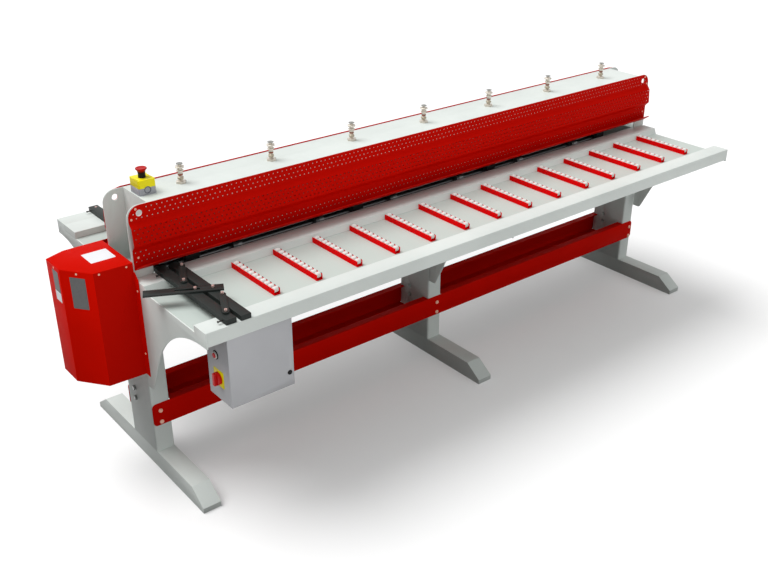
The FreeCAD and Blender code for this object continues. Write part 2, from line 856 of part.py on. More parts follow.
# End cover over the drive

COVER_PLAN = ((-105.0, 0.0), (-100.0, 149.0), (10.0, 230.0), (126.0, 231.0), (157.0, 155.0), (157.0, 0.0))
COVER_FLANGE = 33.0


def end_cover():
    face = -outer_face
    wall = d.cover_sheet
    piece = Piece("end_cover")
    outer = [(face - reach, size(y)) for y, reach in COVER_PLAN]
    piece.pad("XY", [Polygon(outer[::-1])], d.cover_low, d.cover_top)
    inner = [(outer[0][0], outer[0][1] + wall), (outer[1][0] + wall / 2, outer[1][1] + wall),
             (outer[2][0] + wall, outer[2][1] + wall / 3), (outer[3][0] + wall, outer[3][1] - wall / 2),
             (outer[4][0] + wall / 4, outer[4][1] - wall), (outer[5][0], outer[5][1] - wall)]
    piece.pocket("XY", [Polygon(inner[::-1])], d.cover_low + wall, d.cover_top - wall)
    top = d.cover_top - 50
    for side, edge in ((-1, size(-105.0)), (1, size(157.0))):
        tab = edge + COVER_FLANGE * side
        root = edge - wall * side * 0.75
        ear = Polygon([(root, d.cover_low), (tab, d.cover_low), (tab, top - 8), (edge + side * 8, top + 16),
                       (root, top + 16)])
        piece.pad("YZ", [ear], face - wall, face)
    node(piece)


SHEET_SCREW_FLATS = 11.0
SHEET_SCREW_HEAD = 4.0
# Place along the beam, height and how far the sheet stands off the beam there
GUARD_SCREWS = ((1457.0, 1078.0, 0.0), (1450.0, 928.0, 1.0))
COVER_SCREWS = ((-122.0, 811.0), (-122.0, 547.0), (174.0, 811.0), (174.0, 547.0))


def sheet_screws():
    heads = []
    face = d.beam_half_depth + d.cover_sheet
    for side in (-1, 1):
        for end in (-1, 1):
            for x, z, out in GUARD_SCREWS:
                name = f"guard_screw_{len(heads) + 1}"
                base = (x * end, (face + out) * side, z)
                heads.append(hexagon(name, base, (0, side, 0), SHEET_SCREW_FLATS, SHEET_SCREW_HEAD))
    for y, z in COVER_SCREWS:
        name = f"cover_screw_{len(heads) + 1}"
        base = (-outer_face - d.cover_sheet, y, z)
        heads.append(hexagon(name, base, (-1, 0, 0), SHEET_SCREW_FLATS, SHEET_SCREW_HEAD))
    node(group("sheet_screws", heads))


# Emergency stop on the beam: the lid arches over a round knockout in the base, and the mushroom cap slides
# over a collar

STOP_CORNER = 6.0
KNOCKOUT_HEIGHT = 18.0
KNOCKOUT_RADIUS = 11.0
KNOCKOUT_DEPTH = 0.8
ARCH_RIB = 3.0
ARCH_GAP = 0.2
COLLAR_RADIUS = 13.0
COLLAR_BORE = 8.3
COLLAR_HEIGHT = 23.0
LID_BORE = 10.0
STEM_RADIUS = 8.0
STEM_DEPTH = 20.0
CAP_BORE = 13.4
CAP_RIM = 14.4
CAP_RADIUS = 21.0
# Heights above the collar's top: the cap's lower rim, its inner roof, its widest edge and its crown
CAP_LEVELS = (0.3, 6.0, 14.0, 17.0)
CAP_DISH = 1.0


def emergency_stop():
    x = d.stop_x
    y = d.stop_y
    seam = d.stop_seam
    front = y - d.stop_half_depth
    outline = rectangle(x - d.stop_half_width, x + d.stop_half_width, front, y + d.stop_half_depth, STOP_CORNER)
    knockout_z = d.beam_top + KNOCKOUT_HEIGHT
    arch = KNOCKOUT_RADIUS + ARCH_RIB
    base = Piece("emergency_stop_base")
    base.pad("XY", [outline], d.beam_top, seam)
    base.pad("XZ", [Circle(x, knockout_z, arch)], front, front + ARCH_RIB)
    base.pocket("XZ", [Circle(x, knockout_z, KNOCKOUT_RADIUS)], front, front + KNOCKOUT_DEPTH)
    node(base)
    lid = Piece("emergency_stop_lid")
    lid.pad("XY", [outline, Circle(x, y, LID_BORE)], seam, d.stop_top)
    lid.pocket("XZ", [Circle(x, knockout_z, arch + ARCH_GAP)], front, front + ARCH_RIB + ARCH_GAP)
    node(lid)
    collar_top = d.stop_top + COLLAR_HEIGHT
    collar = Piece("emergency_stop_collar")
    collar.pad("XY", [Circle(x, y, COLLAR_RADIUS), Circle(x, y, COLLAR_BORE)], d.stop_top, collar_top)
    node(collar)
    rim, roof, edge, crown = [collar_top + level for level in CAP_LEVELS]
    stem_end = d.stop_top - STEM_DEPTH
    profile = Polygon([
        (0, stem_end), (STEM_RADIUS, stem_end), (STEM_RADIUS, roof), (CAP_BORE, roof), (CAP_BORE, rim),
        (CAP_RIM, rim), (CAP_RADIUS, edge), (CAP_RADIUS - CAP_DISH, crown), (0, crown - CAP_DISH),
    ])
    button = Piece("emergency_stop_button")
    button.revolve("XZ", profile, "V_Axis")
    button.move(x=x, y=y)
    node(button)


# Control box under the front table

BOX_WALL = 1.5
DOOR_DEPTH = 18.0
DOOR_GAP = 0.5
DOOR_HINGE_WIDTH = 12.0
LOCK_INSET = 18.0
LOCK_HEIGHT = 55.0
LOCK_RADIUS = 9.0
LOCK_PLAY = 0.3
LOCK_HEAD = 3.0
LOCK_SHANK = 8.0
TONGUE_HALF_WIDTH = 6.0
TONGUE_REACH = 14.0
TONGUE_THICKNESS = 2.0
HANGER_INSET = 20.0
HANGER_WALL = 30.0
HANGER_DEPTH = (70.0, 10.0)


def control_box():
    left = d.box_left
    right = left + d.box_width
    front = d.box_front
    back = front + d.box_depth
    low = d.box_low
    high = low + d.box_height
    seam = front + DOOR_DEPTH
    case = Piece("control_box")
    case.pad("XZ", [rectangle(left, right, low, high)], seam, back)
    inside = rectangle(left + BOX_WALL, right - BOX_WALL, low + BOX_WALL, high - BOX_WALL)
    case.pocket("XZ", [inside], seam, back - BOX_WALL)
    node(case)
    door = Piece("control_box_door")
    door.pad("XZ", [rectangle(left, right, low, high)], front, seam - DOOR_GAP)
    hollow = rectangle(left + DOOR_HINGE_WIDTH, right - BOX_WALL, low + BOX_WALL, high - BOX_WALL)
    door.pocket("XZ", [hollow], front + BOX_WALL, seam - DOOR_GAP)
    lock_x = right - LOCK_INSET
    lock_z = low + LOCK_HEIGHT
    door.pocket("XZ", [Circle(lock_x, lock_z, LOCK_RADIUS + LOCK_PLAY)], front, front + BOX_WALL)
    node(door)
    lock = Piece("control_box_lock")
    lock.pad("XZ", [Circle(lock_x, lock_z, LOCK_RADIUS)], front - LOCK_HEAD, front + LOCK_SHANK)
    half = TONGUE_HALF_WIDTH
    tongue = rectangle(lock_x - half, lock_x + TONGUE_REACH, lock_z - half, lock_z + half)
    lock.pad("XZ", [tongue], front + LOCK_SHANK, front + LOCK_SHANK + TONGUE_THICKNESS)
    node(lock)
    hanger = Piece("control_box_hanger")
    outer_left = left + HANGER_INSET
    outer_right = right - HANGER_INSET
    inner_left = outer_left + HANGER_WALL
    inner_right = outer_right - HANGER_WALL
    channel = Polygon([
        (outer_left, high), (outer_right, high), (outer_right, pan_bottom), (inner_right, pan_bottom),
        (inner_right, high + d.sheet), (inner_left, high + d.sheet), (inner_left, pan_bottom), (outer_left, pan_bottom),
    ])
    hanger.pad("XZ", [channel], back - HANGER_DEPTH[0], back - HANGER_DEPTH[1])
    node(hanger)
    box_switches(left)


BUTTON_Y = -531.0
BUTTON_Z = 704.0
# Outer radius and reach of the button's gasket and bezel, then of the button in its bore
GASKET = (17.0, 3.0)
BEZEL = (13.5, 7.0)
BUTTON_RADIUS = 9.0
BUTTON_PLAY = 0.3
BUTTON_LEVELS = (10.0, 3.5)
SWITCH_Y = -541.0
SWITCH_Z = 615.0
PLATE_HALF = 33.0
PLATE_CORNER = 5.0
PLATE_THICKNESS = 2.0
KNOB_RADIUS = 24.0
KNOB_LEVELS = (24.0, 14.0, 2.3)
GRIP_HALF_WIDTH = 7.0


def box_switches(left):
    """A push button and a rotary main switch on the box's left wall."""
    bore = Circle(BUTTON_Y, BUTTON_Z, BUTTON_RADIUS + BUTTON_PLAY)
    ring = Piece("start_button_ring")
    ring.pad("YZ", [Circle(BUTTON_Y, BUTTON_Z, GASKET[0]), bore], left - GASKET[1], left)
    ring.pad("YZ", [Circle(BUTTON_Y, BUTTON_Z, BEZEL[0]), bore], left - BEZEL[1], left - GASKET[1])
    node(ring)
    button = Piece("start_button")
    button.pad("YZ", [Circle(BUTTON_Y, BUTTON_Z, BUTTON_RADIUS)], left - BUTTON_LEVELS[0], left - BUTTON_LEVELS[1])
    node(button)
    plate = Piece("switch_plate")
    half = PLATE_HALF
    square = rectangle(SWITCH_Y - half, SWITCH_Y + half, SWITCH_Z - half, SWITCH_Z + half, PLATE_CORNER)
    plate.pad("YZ", [square], left - PLATE_THICKNESS, left)
    node(plate)
    knob = Piece("switch_knob")
    tip, disc, root = KNOB_LEVELS
    knob.pad("YZ", [Circle(SWITCH_Y, SWITCH_Z, KNOB_RADIUS)], left - disc, left - root)
    half = GRIP_HALF_WIDTH
    length = KNOB_RADIUS - 1
    grip = rectangle(SWITCH_Y - half, SWITCH_Y + half, SWITCH_Z - length, SWITCH_Z + length)
    knob.pad("YZ", [grip], left - tip, left - disc)
    node(knob)


# Side guide: a fixed bar, a moving bar on two parallel links, and a push rod that locks on a slot

LINK_HALF_WIDTH = 12.5
LINK_THICKNESS = 6.0
END_FLAT = 0.5
PIN_RADIUS = 4.0
PIN_FLATS = 13.0
PIN_SIDES = 8
PIN_HEAD = 8.0
ROD_HALF_WIDTH = 22.0


def link(label, x, y):
    """A link from a pin on the fixed bar to a pin on the moving bar."""
    run = d.link_run
    across = d.moving_bar_x - d.fixed_bar_x
    length = math.hypot(run.value, across.value)
    bore = d.running_gap + PIN_RADIUS
    half = LINK_HALF_WIDTH
    piece = Piece(label)
    blank = rectangle(-half, length + half, -half, half, half - END_FLAT)
    piece.pad("XY", [blank, Circle(0, 0, bore), Circle(length, 0, bore)], link_bottom, link_bottom + LINK_THICKNESS)
    angle = math.degrees(math.atan2(run.value, across.value))
    piece.body.Placement = Placement(Vector(), Rotation(Vector(0, 0, 1), angle))
    piece.move(x, y)
    node(piece)


def guide_pin(name, x, y):
    """A shouldered screw standing on a bar, its head above the link."""
    pin = Piece(name)
    shoulder = link_bottom + LINK_THICKNESS + d.clearance
    pin.pad("XY", [Circle(x, y, PIN_RADIUS)], d.table_top + d.guide_bar_height, shoulder)
    pin.pad("XY", [regular(x, y, PIN_FLATS, PIN_SIDES)], shoulder, shoulder + PIN_HEAD)
    return pin.body


ROD_RIGHT = 38.0
ROD_LEFT = 242.0
SLOT_NEAR = 44.0
SLOT_FAR = 134.0
SLOT_HALF_WIDTH = 6.2
BAR_NEAR = 98.0
BAR_FAR = 614.0
MOVING_BAR_SHIFT = 4.0
CLAMP_RADIUS = 2.5
CLAMP_REACH = 16.0
CLAMP_FLATS = 8.0
CLAMP_HEAD = 4.0
CLAMP_INNER_Y = 150.0
CLAMP_OUTER_Y = 590.0


def side_guide():
    half = d.guide_bar_width / 2
    low = d.table_top
    high = low + d.guide_bar_height
    fixed_x = d.fixed_bar_x
    moving_x = d.moving_bar_x
    node(box("guide_fixed_bar", (fixed_x - half, fixed_x + half), (-BAR_FAR, -BAR_NEAR), (low, high)))
    near = -BAR_NEAR - MOVING_BAR_SHIFT
    far = -BAR_FAR - MOVING_BAR_SHIFT
    node(box("guide_moving_bar", (moving_x - half, moving_x + half), (far, near), (bar_bottom, high)))
    node(box("rear_guide_bar", (moving_x - half, moving_x + half), (BAR_NEAR, BAR_FAR), (low, high)))
    fixed_pin_x = fixed_x + d.pin_offset
    moving_pin_x = moving_x + d.pin_offset
    link("guide_inner_link", fixed_pin_x, d.inner_link_y)
    link("guide_outer_link", fixed_pin_x, d.outer_link_y)
    rod = Piece("guide_push_rod")
    slot = rectangle(SLOT_NEAR, SLOT_FAR, -SLOT_HALF_WIDTH, SLOT_HALF_WIDTH, SLOT_HALF_WIDTH - END_FLAT)
    blade = rectangle(-ROD_RIGHT, ROD_LEFT, -ROD_HALF_WIDTH, ROD_HALF_WIDTH)
    bore = Circle(0, 0, d.running_gap + PIN_RADIUS)
    rod.pad("XY", [blade, slot, bore], link_bottom, link_bottom + LINK_THICKNESS)
    rise = d.rod_pin_y - d.rod_joint_y
    angle = math.degrees(math.atan2(rise.value, fixed_x.value - moving_x.value))
    rod.body.Placement = Placement(Vector(), Rotation(Vector(0, 0, 1), angle))
    rod.move(moving_pin_x, d.rod_joint_y)
    node(rod)
    pins = [
        guide_pin("fixed_pin_inner", fixed_pin_x, d.inner_link_y),
        guide_pin("fixed_pin_outer", fixed_pin_x, d.outer_link_y),
        guide_pin("fixed_pin_rod", fixed_pin_x, d.rod_pin_y),
    ]
    clamps = ((fixed_x, -CLAMP_INNER_Y), (fixed_x, -CLAMP_OUTER_Y), (moving_x, CLAMP_OUTER_Y))
    for number, (x, y) in enumerate(clamps, start=1):
        edge = x - half
        z = low + d.guide_bar_height / 2
        shank = cylinder(f"clamp_shank_{number}", (edge, y, z), (-1, 0, 0), CLAMP_RADIUS, CLAMP_REACH)
        head = hexagon(f"clamp_head_{number}", (edge - CLAMP_REACH, y, z), (-1, 0, 0), CLAMP_FLATS, CLAMP_HEAD)
        pins.append(fuse(f"clamp_screw_{number}", [shank, head]))
    node(group("guide_fixed_screws", pins))
    moving = [
        guide_pin("moving_pin_inner", moving_pin_x, d.inner_link_y + d.link_run),
        guide_pin("moving_pin_outer", moving_pin_x, d.outer_link_y + d.link_run),
        guide_pin("moving_pin_rod", moving_pin_x, d.rod_joint_y),
    ]
    node(group("guide_moving_pins", moving))


def check():
    """Stop if any object failed or any sub-part is not a valid solid."""
    failed = [item.Name for item in doc.Objects if "Invalid" in item.State or "Error" in item.State]
    if failed:
        raise RuntimeError(f"failed objects: {failed}")
    for thing in nodes:
        if thing.Shape.isNull() or not thing.Shape.isValid() or not thing.Shape.Solids:
            raise RuntimeError(f"bad shape: {thing.Label}")


def main():
    legs()
    brackets()
    tables()
    racks()
    rack_rollers()
    lower_beam()
    upper_beam()
    drive()
    gears()
    shafts()
    rolls()
    bearings()
    adjusters()
    guards()
    stretchers()
    frame_bolts()
    end_cover()
    sheet_screws()
    emergency_stop()
    control_box()
    side_guide()
    doc.recompute()
    check()
    os.makedirs("parts", exist_ok=True)
    for thing in nodes:
        thing.Shape.exportStep(f"parts/{thing.Label}.step")
        print(thing.Label, len(thing.Shape.Solids), round(thing.Shape.Volume))


main()
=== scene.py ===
import math

import bmesh
import bpy
from mathutils import Matrix, Vector


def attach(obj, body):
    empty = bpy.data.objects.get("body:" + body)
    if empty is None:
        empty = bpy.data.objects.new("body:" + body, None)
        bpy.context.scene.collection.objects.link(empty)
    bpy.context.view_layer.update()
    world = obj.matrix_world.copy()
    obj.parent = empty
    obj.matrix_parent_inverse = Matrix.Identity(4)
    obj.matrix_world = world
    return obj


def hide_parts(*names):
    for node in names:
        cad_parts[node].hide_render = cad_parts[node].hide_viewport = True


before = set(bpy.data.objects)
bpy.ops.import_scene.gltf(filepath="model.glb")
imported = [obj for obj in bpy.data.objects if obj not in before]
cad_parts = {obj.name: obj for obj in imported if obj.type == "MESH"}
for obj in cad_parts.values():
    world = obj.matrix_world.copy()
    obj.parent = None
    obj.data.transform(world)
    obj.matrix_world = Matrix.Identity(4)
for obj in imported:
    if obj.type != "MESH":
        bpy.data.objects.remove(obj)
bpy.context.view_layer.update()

# A beading machine for long sheets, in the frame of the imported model: the origin is on the floor at the middle
# foot, +X along the machine, the front at -Y, +Z up. Pieces are shaped in millimetres and kept in metres.

MM = 0.001


# Materials

class Value:
    """A socket of a material's nodes that can stand in plain expressions."""

    def __init__(self, finish, socket):
        self.finish = finish
        self.socket = socket

    def combined(self, operation, *inputs):
        return self.finish.node("Math", {"operation": operation}, dict(enumerate(inputs)))

    def __add__(self, other):
        return self.combined("ADD", self, other)

    def __sub__(self, other):
        return self.combined("SUBTRACT", self, other)

    def __rsub__(self, other):
        return self.combined("SUBTRACT", other, self)

    def __mul__(self, other):
        return self.combined("MULTIPLY", self, other)

    __radd__ = __add__
    __rmul__ = __mul__

    def between(self, low, high):
        """0 below low, 1 above high and a smooth rise in between."""
        settings = {"interpolation_type": "SMOOTHSTEP"}
        return self.finish.node("MapRange", settings, {0: self, 1: low, 2: high})


class Finish:
    """A material with one main shader, whose patterns lie on object coordinates."""

    def __init__(self, name, colour, roughness, metallic=0.0, **fixed):
        self.material = bpy.data.materials.new(name)
        self.material.use_nodes = True
        self.tree = self.material.node_tree
        self.shader = self.tree.nodes["Principled BSDF"]
        self.colour = linear(colour)
        settings = {"Base Color": self.colour, "Roughness": roughness, "Metallic": metallic}
        settings.update(fixed)
        for socket, value in settings.items():
            self.shader.inputs[socket].default_value = value
        self.place = self.node("TexCoord", output="Object")

    def node(self, kind, settings=None, inputs=None, output=0):
        """Add any node: its settings first, then the values or links of its sockets."""
        node = self.tree.nodes.new(f"ShaderNode{kind}")
        for name, value in (settings or {}).items():
            setattr(node, name, value)
        for name, value in (inputs or {}).items():
            if isinstance(value, Value):
                self.tree.links.new(value.socket, node.inputs[name])
            else:
                node.inputs[name].default_value = value
        return Value(self, node.outputs[output])

    def noise(self, scale, detail=2.0, roughness=0.5, stretch=(1, 1, 1)):
        where = self.place
        if stretch != (1, 1, 1):
            where = self.node("Mapping", None, {"Vector": where, "Scale": stretch})
        return self.node("TexNoise", None, {
            "Vector": where, "Scale": scale, "Detail": detail, "Roughness": roughness,
        })

    def mix(self, factor, first, second):
        """Blend two colours."""
        return self.node("Mix", {"data_type": "RGBA"}, {0: factor, 6: first, 7: second}, output=2)

    def tones(self, factor, low, high):
        """Two shares of the finish's own colour, blended."""
        return self.mix(factor, shaded(self.colour, low), shaded(self.colour, high))

    def feed(self, socket, value):
        self.tree.links.new(value.socket, self.shader.inputs[socket])

    def bump(self, height, strength, distance):
        self.feed("Normal", self.node("Bump", None, {
            "Height": height, "Strength": strength, "Distance": distance,
        }))

    def facing(self, name):
        """Share of an axis in the direction that the surface looks in: 1 along the axis, -1 against it."""
        normal = self.node("NewGeometry", output="Normal")
        return self.node("SeparateXYZ", None, {0: normal}, output=name)

    def axis(self, name):
        return self.node("SeparateXYZ", None, {0: self.place}, output=name)


def linear(colour):
    """An sRGB colour of 0 to 255 as the linear one that a shader takes."""
    parts = [part / 255 for part in colour]
    parts = [part / 12.92 if part <= 0.04045 else ((part + 0.055) / 1.055) ** 2.4 for part in parts]
    return (*parts, 1.0)


def shaded(colour, factor):
    return (*[part * factor for part in colour[:3]], 1.0)


def powder_coat(name, colour, roughness=0.42, dust=0.06, gloss=0.3, pan_shade=None, painted_shade_share=1.0):
    """Sprayed and baked paint: fine orange peel, slightly uneven gloss and a little dust on upper faces.

    A pan is a height, a reach from the middle and a colour: below that height and inside that reach the paint has
    this darker tone, a painted shade for the sunken pan. Faces that don't look left keep only a share of the tone,
    a painted shade that leaves the left faces lighter as if lit.
    """
    finish = Finish(name, colour, roughness, **{"Specular IOR Level": gloss})
    cloud = finish.noise(3.1, 4.0, 0.55)
    tone = finish.tones(cloud.between(0.3, 0.7), 0.95, 1.03)
    settled = finish.facing("Z").between(0.6, 1.0) * finish.noise(19.0, 5.0, 0.7).between(0.35, 0.75)
    tone = finish.mix(settled * dust, tone, shaded(finish.colour, 0.82))
    # Painted shade: faces that don't look left keep only a share of the tone, so that the left faces look lit
    if painted_shade_share < 1.0:
        tone = finish.mix(finish.facing("X").between(-0.7, -0.4), tone, shaded(finish.colour, painted_shade_share))
    # Painted shade: below the rim and inside the reach the table gets a darker, slightly greener tone in place of
    # the pan's shade
    if pan_shade:
        height, reach, colour = pan_shade
        above = finish.axis("Z").between(height * MM, (height + 1.0) * MM)
        across = finish.axis("Y")
        outside = (across * across).between((reach * MM) ** 2, ((reach + 10.0) * MM) ** 2)
        tone = finish.mix(above + outside, linear(colour), tone)
    finish.feed("Base Color", tone)
    finish.feed("Roughness", roughness - 0.05 + finish.noise(27.0, 3.0) * 0.1 + settled * 0.08)
    finish.bump(finish.noise(420.0, 2.0), 0.16, 0.0006)
    return finish.material


def moulded_plastic(name, colour, roughness=0.4, grain=1600.0):
    """Injection-moulded plastic with a fine spark-eroded texture."""
    finish = Finish(name, colour, roughness, **{"Specular IOR Level": 0.2})
    cloud = finish.noise(40.0, 3.0)
    finish.feed("Base Color", finish.tones(cloud, 0.94, 1.04))
    finish.feed("Roughness", roughness - 0.06 + finish.noise(160.0, 2.0) * 0.12)
    finish.bump(finish.noise(grain, 1.0), 0.12, 0.0002)
    return finish.material


def stop_cap_plastic(name, colour, skirt_low, skirt_high):
    """Glossy red plastic that darkens towards the skirt: painted shade for the shadow that falls on the skirt."""
    finish = Finish(name, colour, 0.34, **{"Specular IOR Level": 0.12})
    rise = finish.axis("Z").between(skirt_low * MM, skirt_high * MM)
    cloud = finish.noise(60.0, 3.0)
    tone = finish.tones(cloud, 0.93, 1.04)
    # Painted shade: below the skirt heights the cap's colour falls almost to black
    finish.feed("Base Color", finish.mix(rise, shaded(finish.colour, 0.05), tone))
    finish.feed("Roughness", 0.3 + finish.noise(180.0, 2.0) * 0.1)
    finish.bump(finish.noise(900.0, 1.0), 0.05, 0.0002)
    return finish.material


def plated_steel(name, colour, roughness=0.28, spangle=0.08, metallic=1.0):
    """Turned or plated metal: cloudy tone, fine machining lines round the piece."""
    finish = Finish(name, colour, roughness, metallic)
    cloud = finish.noise(90.0, 4.0, 0.6)
    tone = finish.tones(cloud.between(0.3, 0.7), 1 - spangle, 1 + spangle)
    finish.feed("Base Color", tone)
    lines = finish.noise(60.0, 2.0, 0.5, stretch=(1, 1, 40))
    finish.feed("Roughness", roughness - 0.05 + lines * 0.12)
    finish.bump(lines, 0.1, 0.0002)
    return finish.material


def black_oxide(name, colour, roughness=0.5):
    """Blackened flat steel: mill scale clouds, drawn lines along the bar, rubbed spots."""
    finish = Finish(name, colour, roughness, 0.1, **{"Specular IOR Level": 0.25})
    drawn = finish.noise(30.0, 3.0, 0.6, stretch=(6, 1, 6))
    rubbed = finish.noise(11.0, 5.0, 0.7).between(0.55, 0.8)
    tone = finish.tones(drawn, 0.8, 1.2)
    finish.feed("Base Color", finish.mix(rubbed * 0.3, tone, shaded(finish.colour, 1.9)))
    finish.feed("Roughness", roughness - 0.06 + drawn * 0.14)
    finish.bump(drawn, 0.15, 0.0003)
    return finish.material


def cast_iron(name, colour, roughness=0.62):
    """Sand-cast or sawn iron with a coarse skin."""
    finish = Finish(name, colour, roughness, 0.4)
    skin = finish.noise(260.0, 4.0, 0.65)
    stain = finish.noise(14.0, 4.0, 0.6)
    finish.feed("Base Color", finish.tones(stain, 0.75, 1.15))
    finish.feed("Roughness", roughness - 0.08 + skin * 0.16)
    finish.bump(skin, 0.3, 0.0006)
    return finish.material


FINISHES = {
    "grey_paint": powder_coat("grey_powder_coat", (220, 226, 222), gloss=0.12),
    "red_paint": powder_coat("red_powder_coat", (208, 11, 0), 0.5, 0.03, 0.02),
    "rack_red": powder_coat("rack_red_paint", (240, 6, 10), 0.5, 0.02, 0.02),
    "roller_white": moulded_plastic("white_roller_plastic", (236, 234, 230), 0.4),
    "black_steel": black_oxide("blackened_bar", (35, 40, 38)),
    "dark_screw": plated_steel("blackened_screw", (60, 56, 54), 0.42),
    "zinc": plated_steel("yellowish_zinc", (212, 204, 192), 0.38, metallic=0.5),
    "bright_steel": plated_steel("bright_steel", (104, 104, 104), 0.32),
    "bearing_iron": cast_iron("bearing_iron", (40, 40, 40)),
    "motor_grey": powder_coat("motor_paint", (96, 112, 126), 0.5),
    "box_paint": powder_coat("control_box_paint", (192, 193, 196), 0.46, 0.03, 0.1),
    "lock_black": moulded_plastic("black_plastic", (10, 9, 9), 0.5),
    "stop_grey": moulded_plastic("stop_base_plastic", (172, 173, 180)),
    "yellow_plastic": moulded_plastic("signal_yellow_plastic", (255, 240, 16)),
    "red_plastic": moulded_plastic("signal_red_plastic", (200, 10, 12), 0.36),
}
# Height, reach from the middle and colour of the painted shade in the table's sunken pan
PAN_SHADE = (826.0, 560.0, (196, 206, 200))
TABLE_PAINT = powder_coat("table_powder_coat", (220, 226, 222), gloss=0.12, pan_shade=PAN_SHADE)
# The cover's red is lighter than the red paint, and its faces that don't look left are held back to about the red
# paint's tone: painted light on the left faces
COVER_RED = powder_coat("cover_red_powder_coat", (232, 16, 0), 0.5, 0.03, 0.02, painted_shade_share=0.75)
# Red cap, with painted shade on its skirt between these heights
STOP_CAP_RED = stop_cap_plastic("stop_cap_red", (184, 8, 9), 1206.0, 1218.0)
STOP_DARK_GREY = moulded_plastic("knockout_plastic", (98, 98, 108))
RING_COPPER = plated_steel("copper_ring", (150, 84, 64), 0.4, metallic=0.4)
NUT_BRONZE = plated_steel("lock_nut_plating", (180, 168, 148), 0.4, metallic=0.5)
CAP_GREY = moulded_plastic("adjuster_cap_plastic", (146, 146, 142), 0.45)
COLUMN_BOLT_STEEL = plated_steel("column_bolt_steel", (128, 130, 128), 0.26)
BEZEL_WHITE = moulded_plastic("bezel_plastic", (222, 218, 214), 0.35)
BADGE_WHITE = powder_coat("badge_enamel", (236, 236, 240), 0.35, 0.02)
BADGE_GREY = plated_steel("badge_foil", (98, 98, 98), 0.5, 0.05, 0.3)
PIN_STEEL = plated_steel("worn_pin_steel", (208, 176, 168), 0.36, metallic=0.5)
SCREW_LIGHT = plated_steel("light_screw_plating", (255, 204, 180), 0.4, metallic=0.1)
NODE_SLOTS = {}
TABLES = ("front_table", "rear_table")


def carry_materials():
    """Give every carried-over node the finish of its slot in the record."""
    for name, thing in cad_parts.items():
        for holder in thing.material_slots:
            NODE_SLOTS[name] = holder.material.name.split(".")[0]
            holder.material = FINISHES[NODE_SLOTS[name]]
            if name in TABLES:
                holder.material = TABLE_PAINT


# Ways to make a piece

# Angles in degrees: what still shows as an edge, what gets broken, what is an outer corner and what counts as flat
CREASE = 35
EDGE_ANGLE = 28
CORNER_ANGLE = 60
FLAT_ANGLE = 0.5
# Distances at which two vertices are one
WELD = 0.02
NEAR = 0.001
MOULDED_STEPS = 5
UPRIGHT = 0.99
SHORTEST_UPRIGHT = 8.0
SHORTEST_RIM = 30.0
RIM_BAND = 0.1


def keep(mesh, name, slot, body="frame", stands_for=(), finish=None, crease=CREASE):
    """Make a finished bmesh a piece that rides on a body and may stand for CAD nodes."""
    bmesh.ops.scale(mesh, vec=(MM, MM, MM), verts=mesh.verts)
    shape = bpy.data.meshes.new(name)
    mesh.to_mesh(shape)
    mesh.free()
    for face in shape.polygons:
        face.use_smooth = True
    shape.set_sharp_from_angle(angle=math.radians(crease))
    return settle(shape, name, slot, body, stands_for, finish)


def settle(shape, name, slot, body, stands_for, finish=None):
    """Put a finished mesh in the scene and say what it rides on and stands for."""
    thing = bpy.data.objects.new(name, shape)
    bpy.context.scene.collection.objects.link(thing)
    shape.materials.clear()
    shape.materials.append(finish or FINISHES[slot])
    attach(thing, body)
    if stands_for:
        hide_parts(*stands_for)
    return thing


def eased(node, width, body="frame", finish=None, moulded=0):
    """A node's own shape with its edges broken by a small rounding, as grinding and paint leave them.

    A moulded box also gets a larger radius on its upright corners and its upper rim.
    """
    mesh = bmesh.new()
    mesh.from_mesh(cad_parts[node].data)
    bmesh.ops.remove_doubles(mesh, verts=mesh.verts, dist=WELD * MM)
    flat = math.radians(FLAT_ANGLE)
    bmesh.ops.dissolve_limit(mesh, angle_limit=flat, verts=mesh.verts, edges=mesh.edges)
    if moulded:
        bevel(mesh, moulded_corners(mesh), moulded * MM, MOULDED_STEPS)
    shape = bpy.data.meshes.new(node)
    mesh.to_mesh(shape)
    mesh.free()
    for face in shape.polygons:
        face.use_smooth = True
    thing = settle(shape, f"{node}_eased", NODE_SLOTS[node], body, [node], finish)
    rounding = thing.modifiers.new("broken_edges", "BEVEL")
    rounding.width = width * MM
    rounding.segments = 2
    rounding.limit_method = "ANGLE"
    rounding.angle_limit = math.radians(EDGE_ANGLE)
    rounding.harden_normals = True


def moulded_corners(mesh):
    """The sharp outer corners of a box that stand upright or lie in its upper rim."""
    top = max(vert.co.z for vert in mesh.verts)
    chosen = []
    for edge in mesh.edges:
        sharp = len(edge.link_faces) == 2 and edge.calc_face_angle_signed() > math.radians(CORNER_ANGLE)
        run = edge.verts[1].co - edge.verts[0].co
        upright = abs(run.z) > UPRIGHT * run.length and run.length > SHORTEST_UPRIGHT * MM
        level = all(top - vert.co.z < RIM_BAND * MM for vert in edge.verts)
        in_rim = level and run.length > SHORTEST_RIM * MM
        if sharp and (upright or in_rim):
            chosen.append(edge)
    return chosen


def bevel(mesh, edges, width, steps=1):
    bmesh.ops.bevel(mesh, geom=edges, offset=width, segments=steps, profile=0.5, affect="EDGES", material=-1)


def at(x, y, z, facing=(0, 0, 1)):
    """The place of a part that was made upright at the origin and looks in a direction."""
    turn = Vector(facing).to_track_quat("Z", "Y").to_matrix().to_4x4()
    return Matrix.Translation((x, y, z)) @ turn


def put(mesh, part, *places):
    """Add one copy of a part for each place."""
    shape = bpy.data.meshes.new("part")
    part.to_mesh(shape)
    part.free()
    for place in places:
        start = len(mesh.verts)
        mesh.from_mesh(shape)
        mesh.verts.ensure_lookup_table()
        bmesh.ops.transform(mesh, matrix=place, verts=mesh.verts[start:])
    bpy.data.meshes.remove(shape)
    return mesh


def placed(part, *places):
    """A new mesh with one copy of a part for each place."""
    return put(bmesh.new(), part, *places)


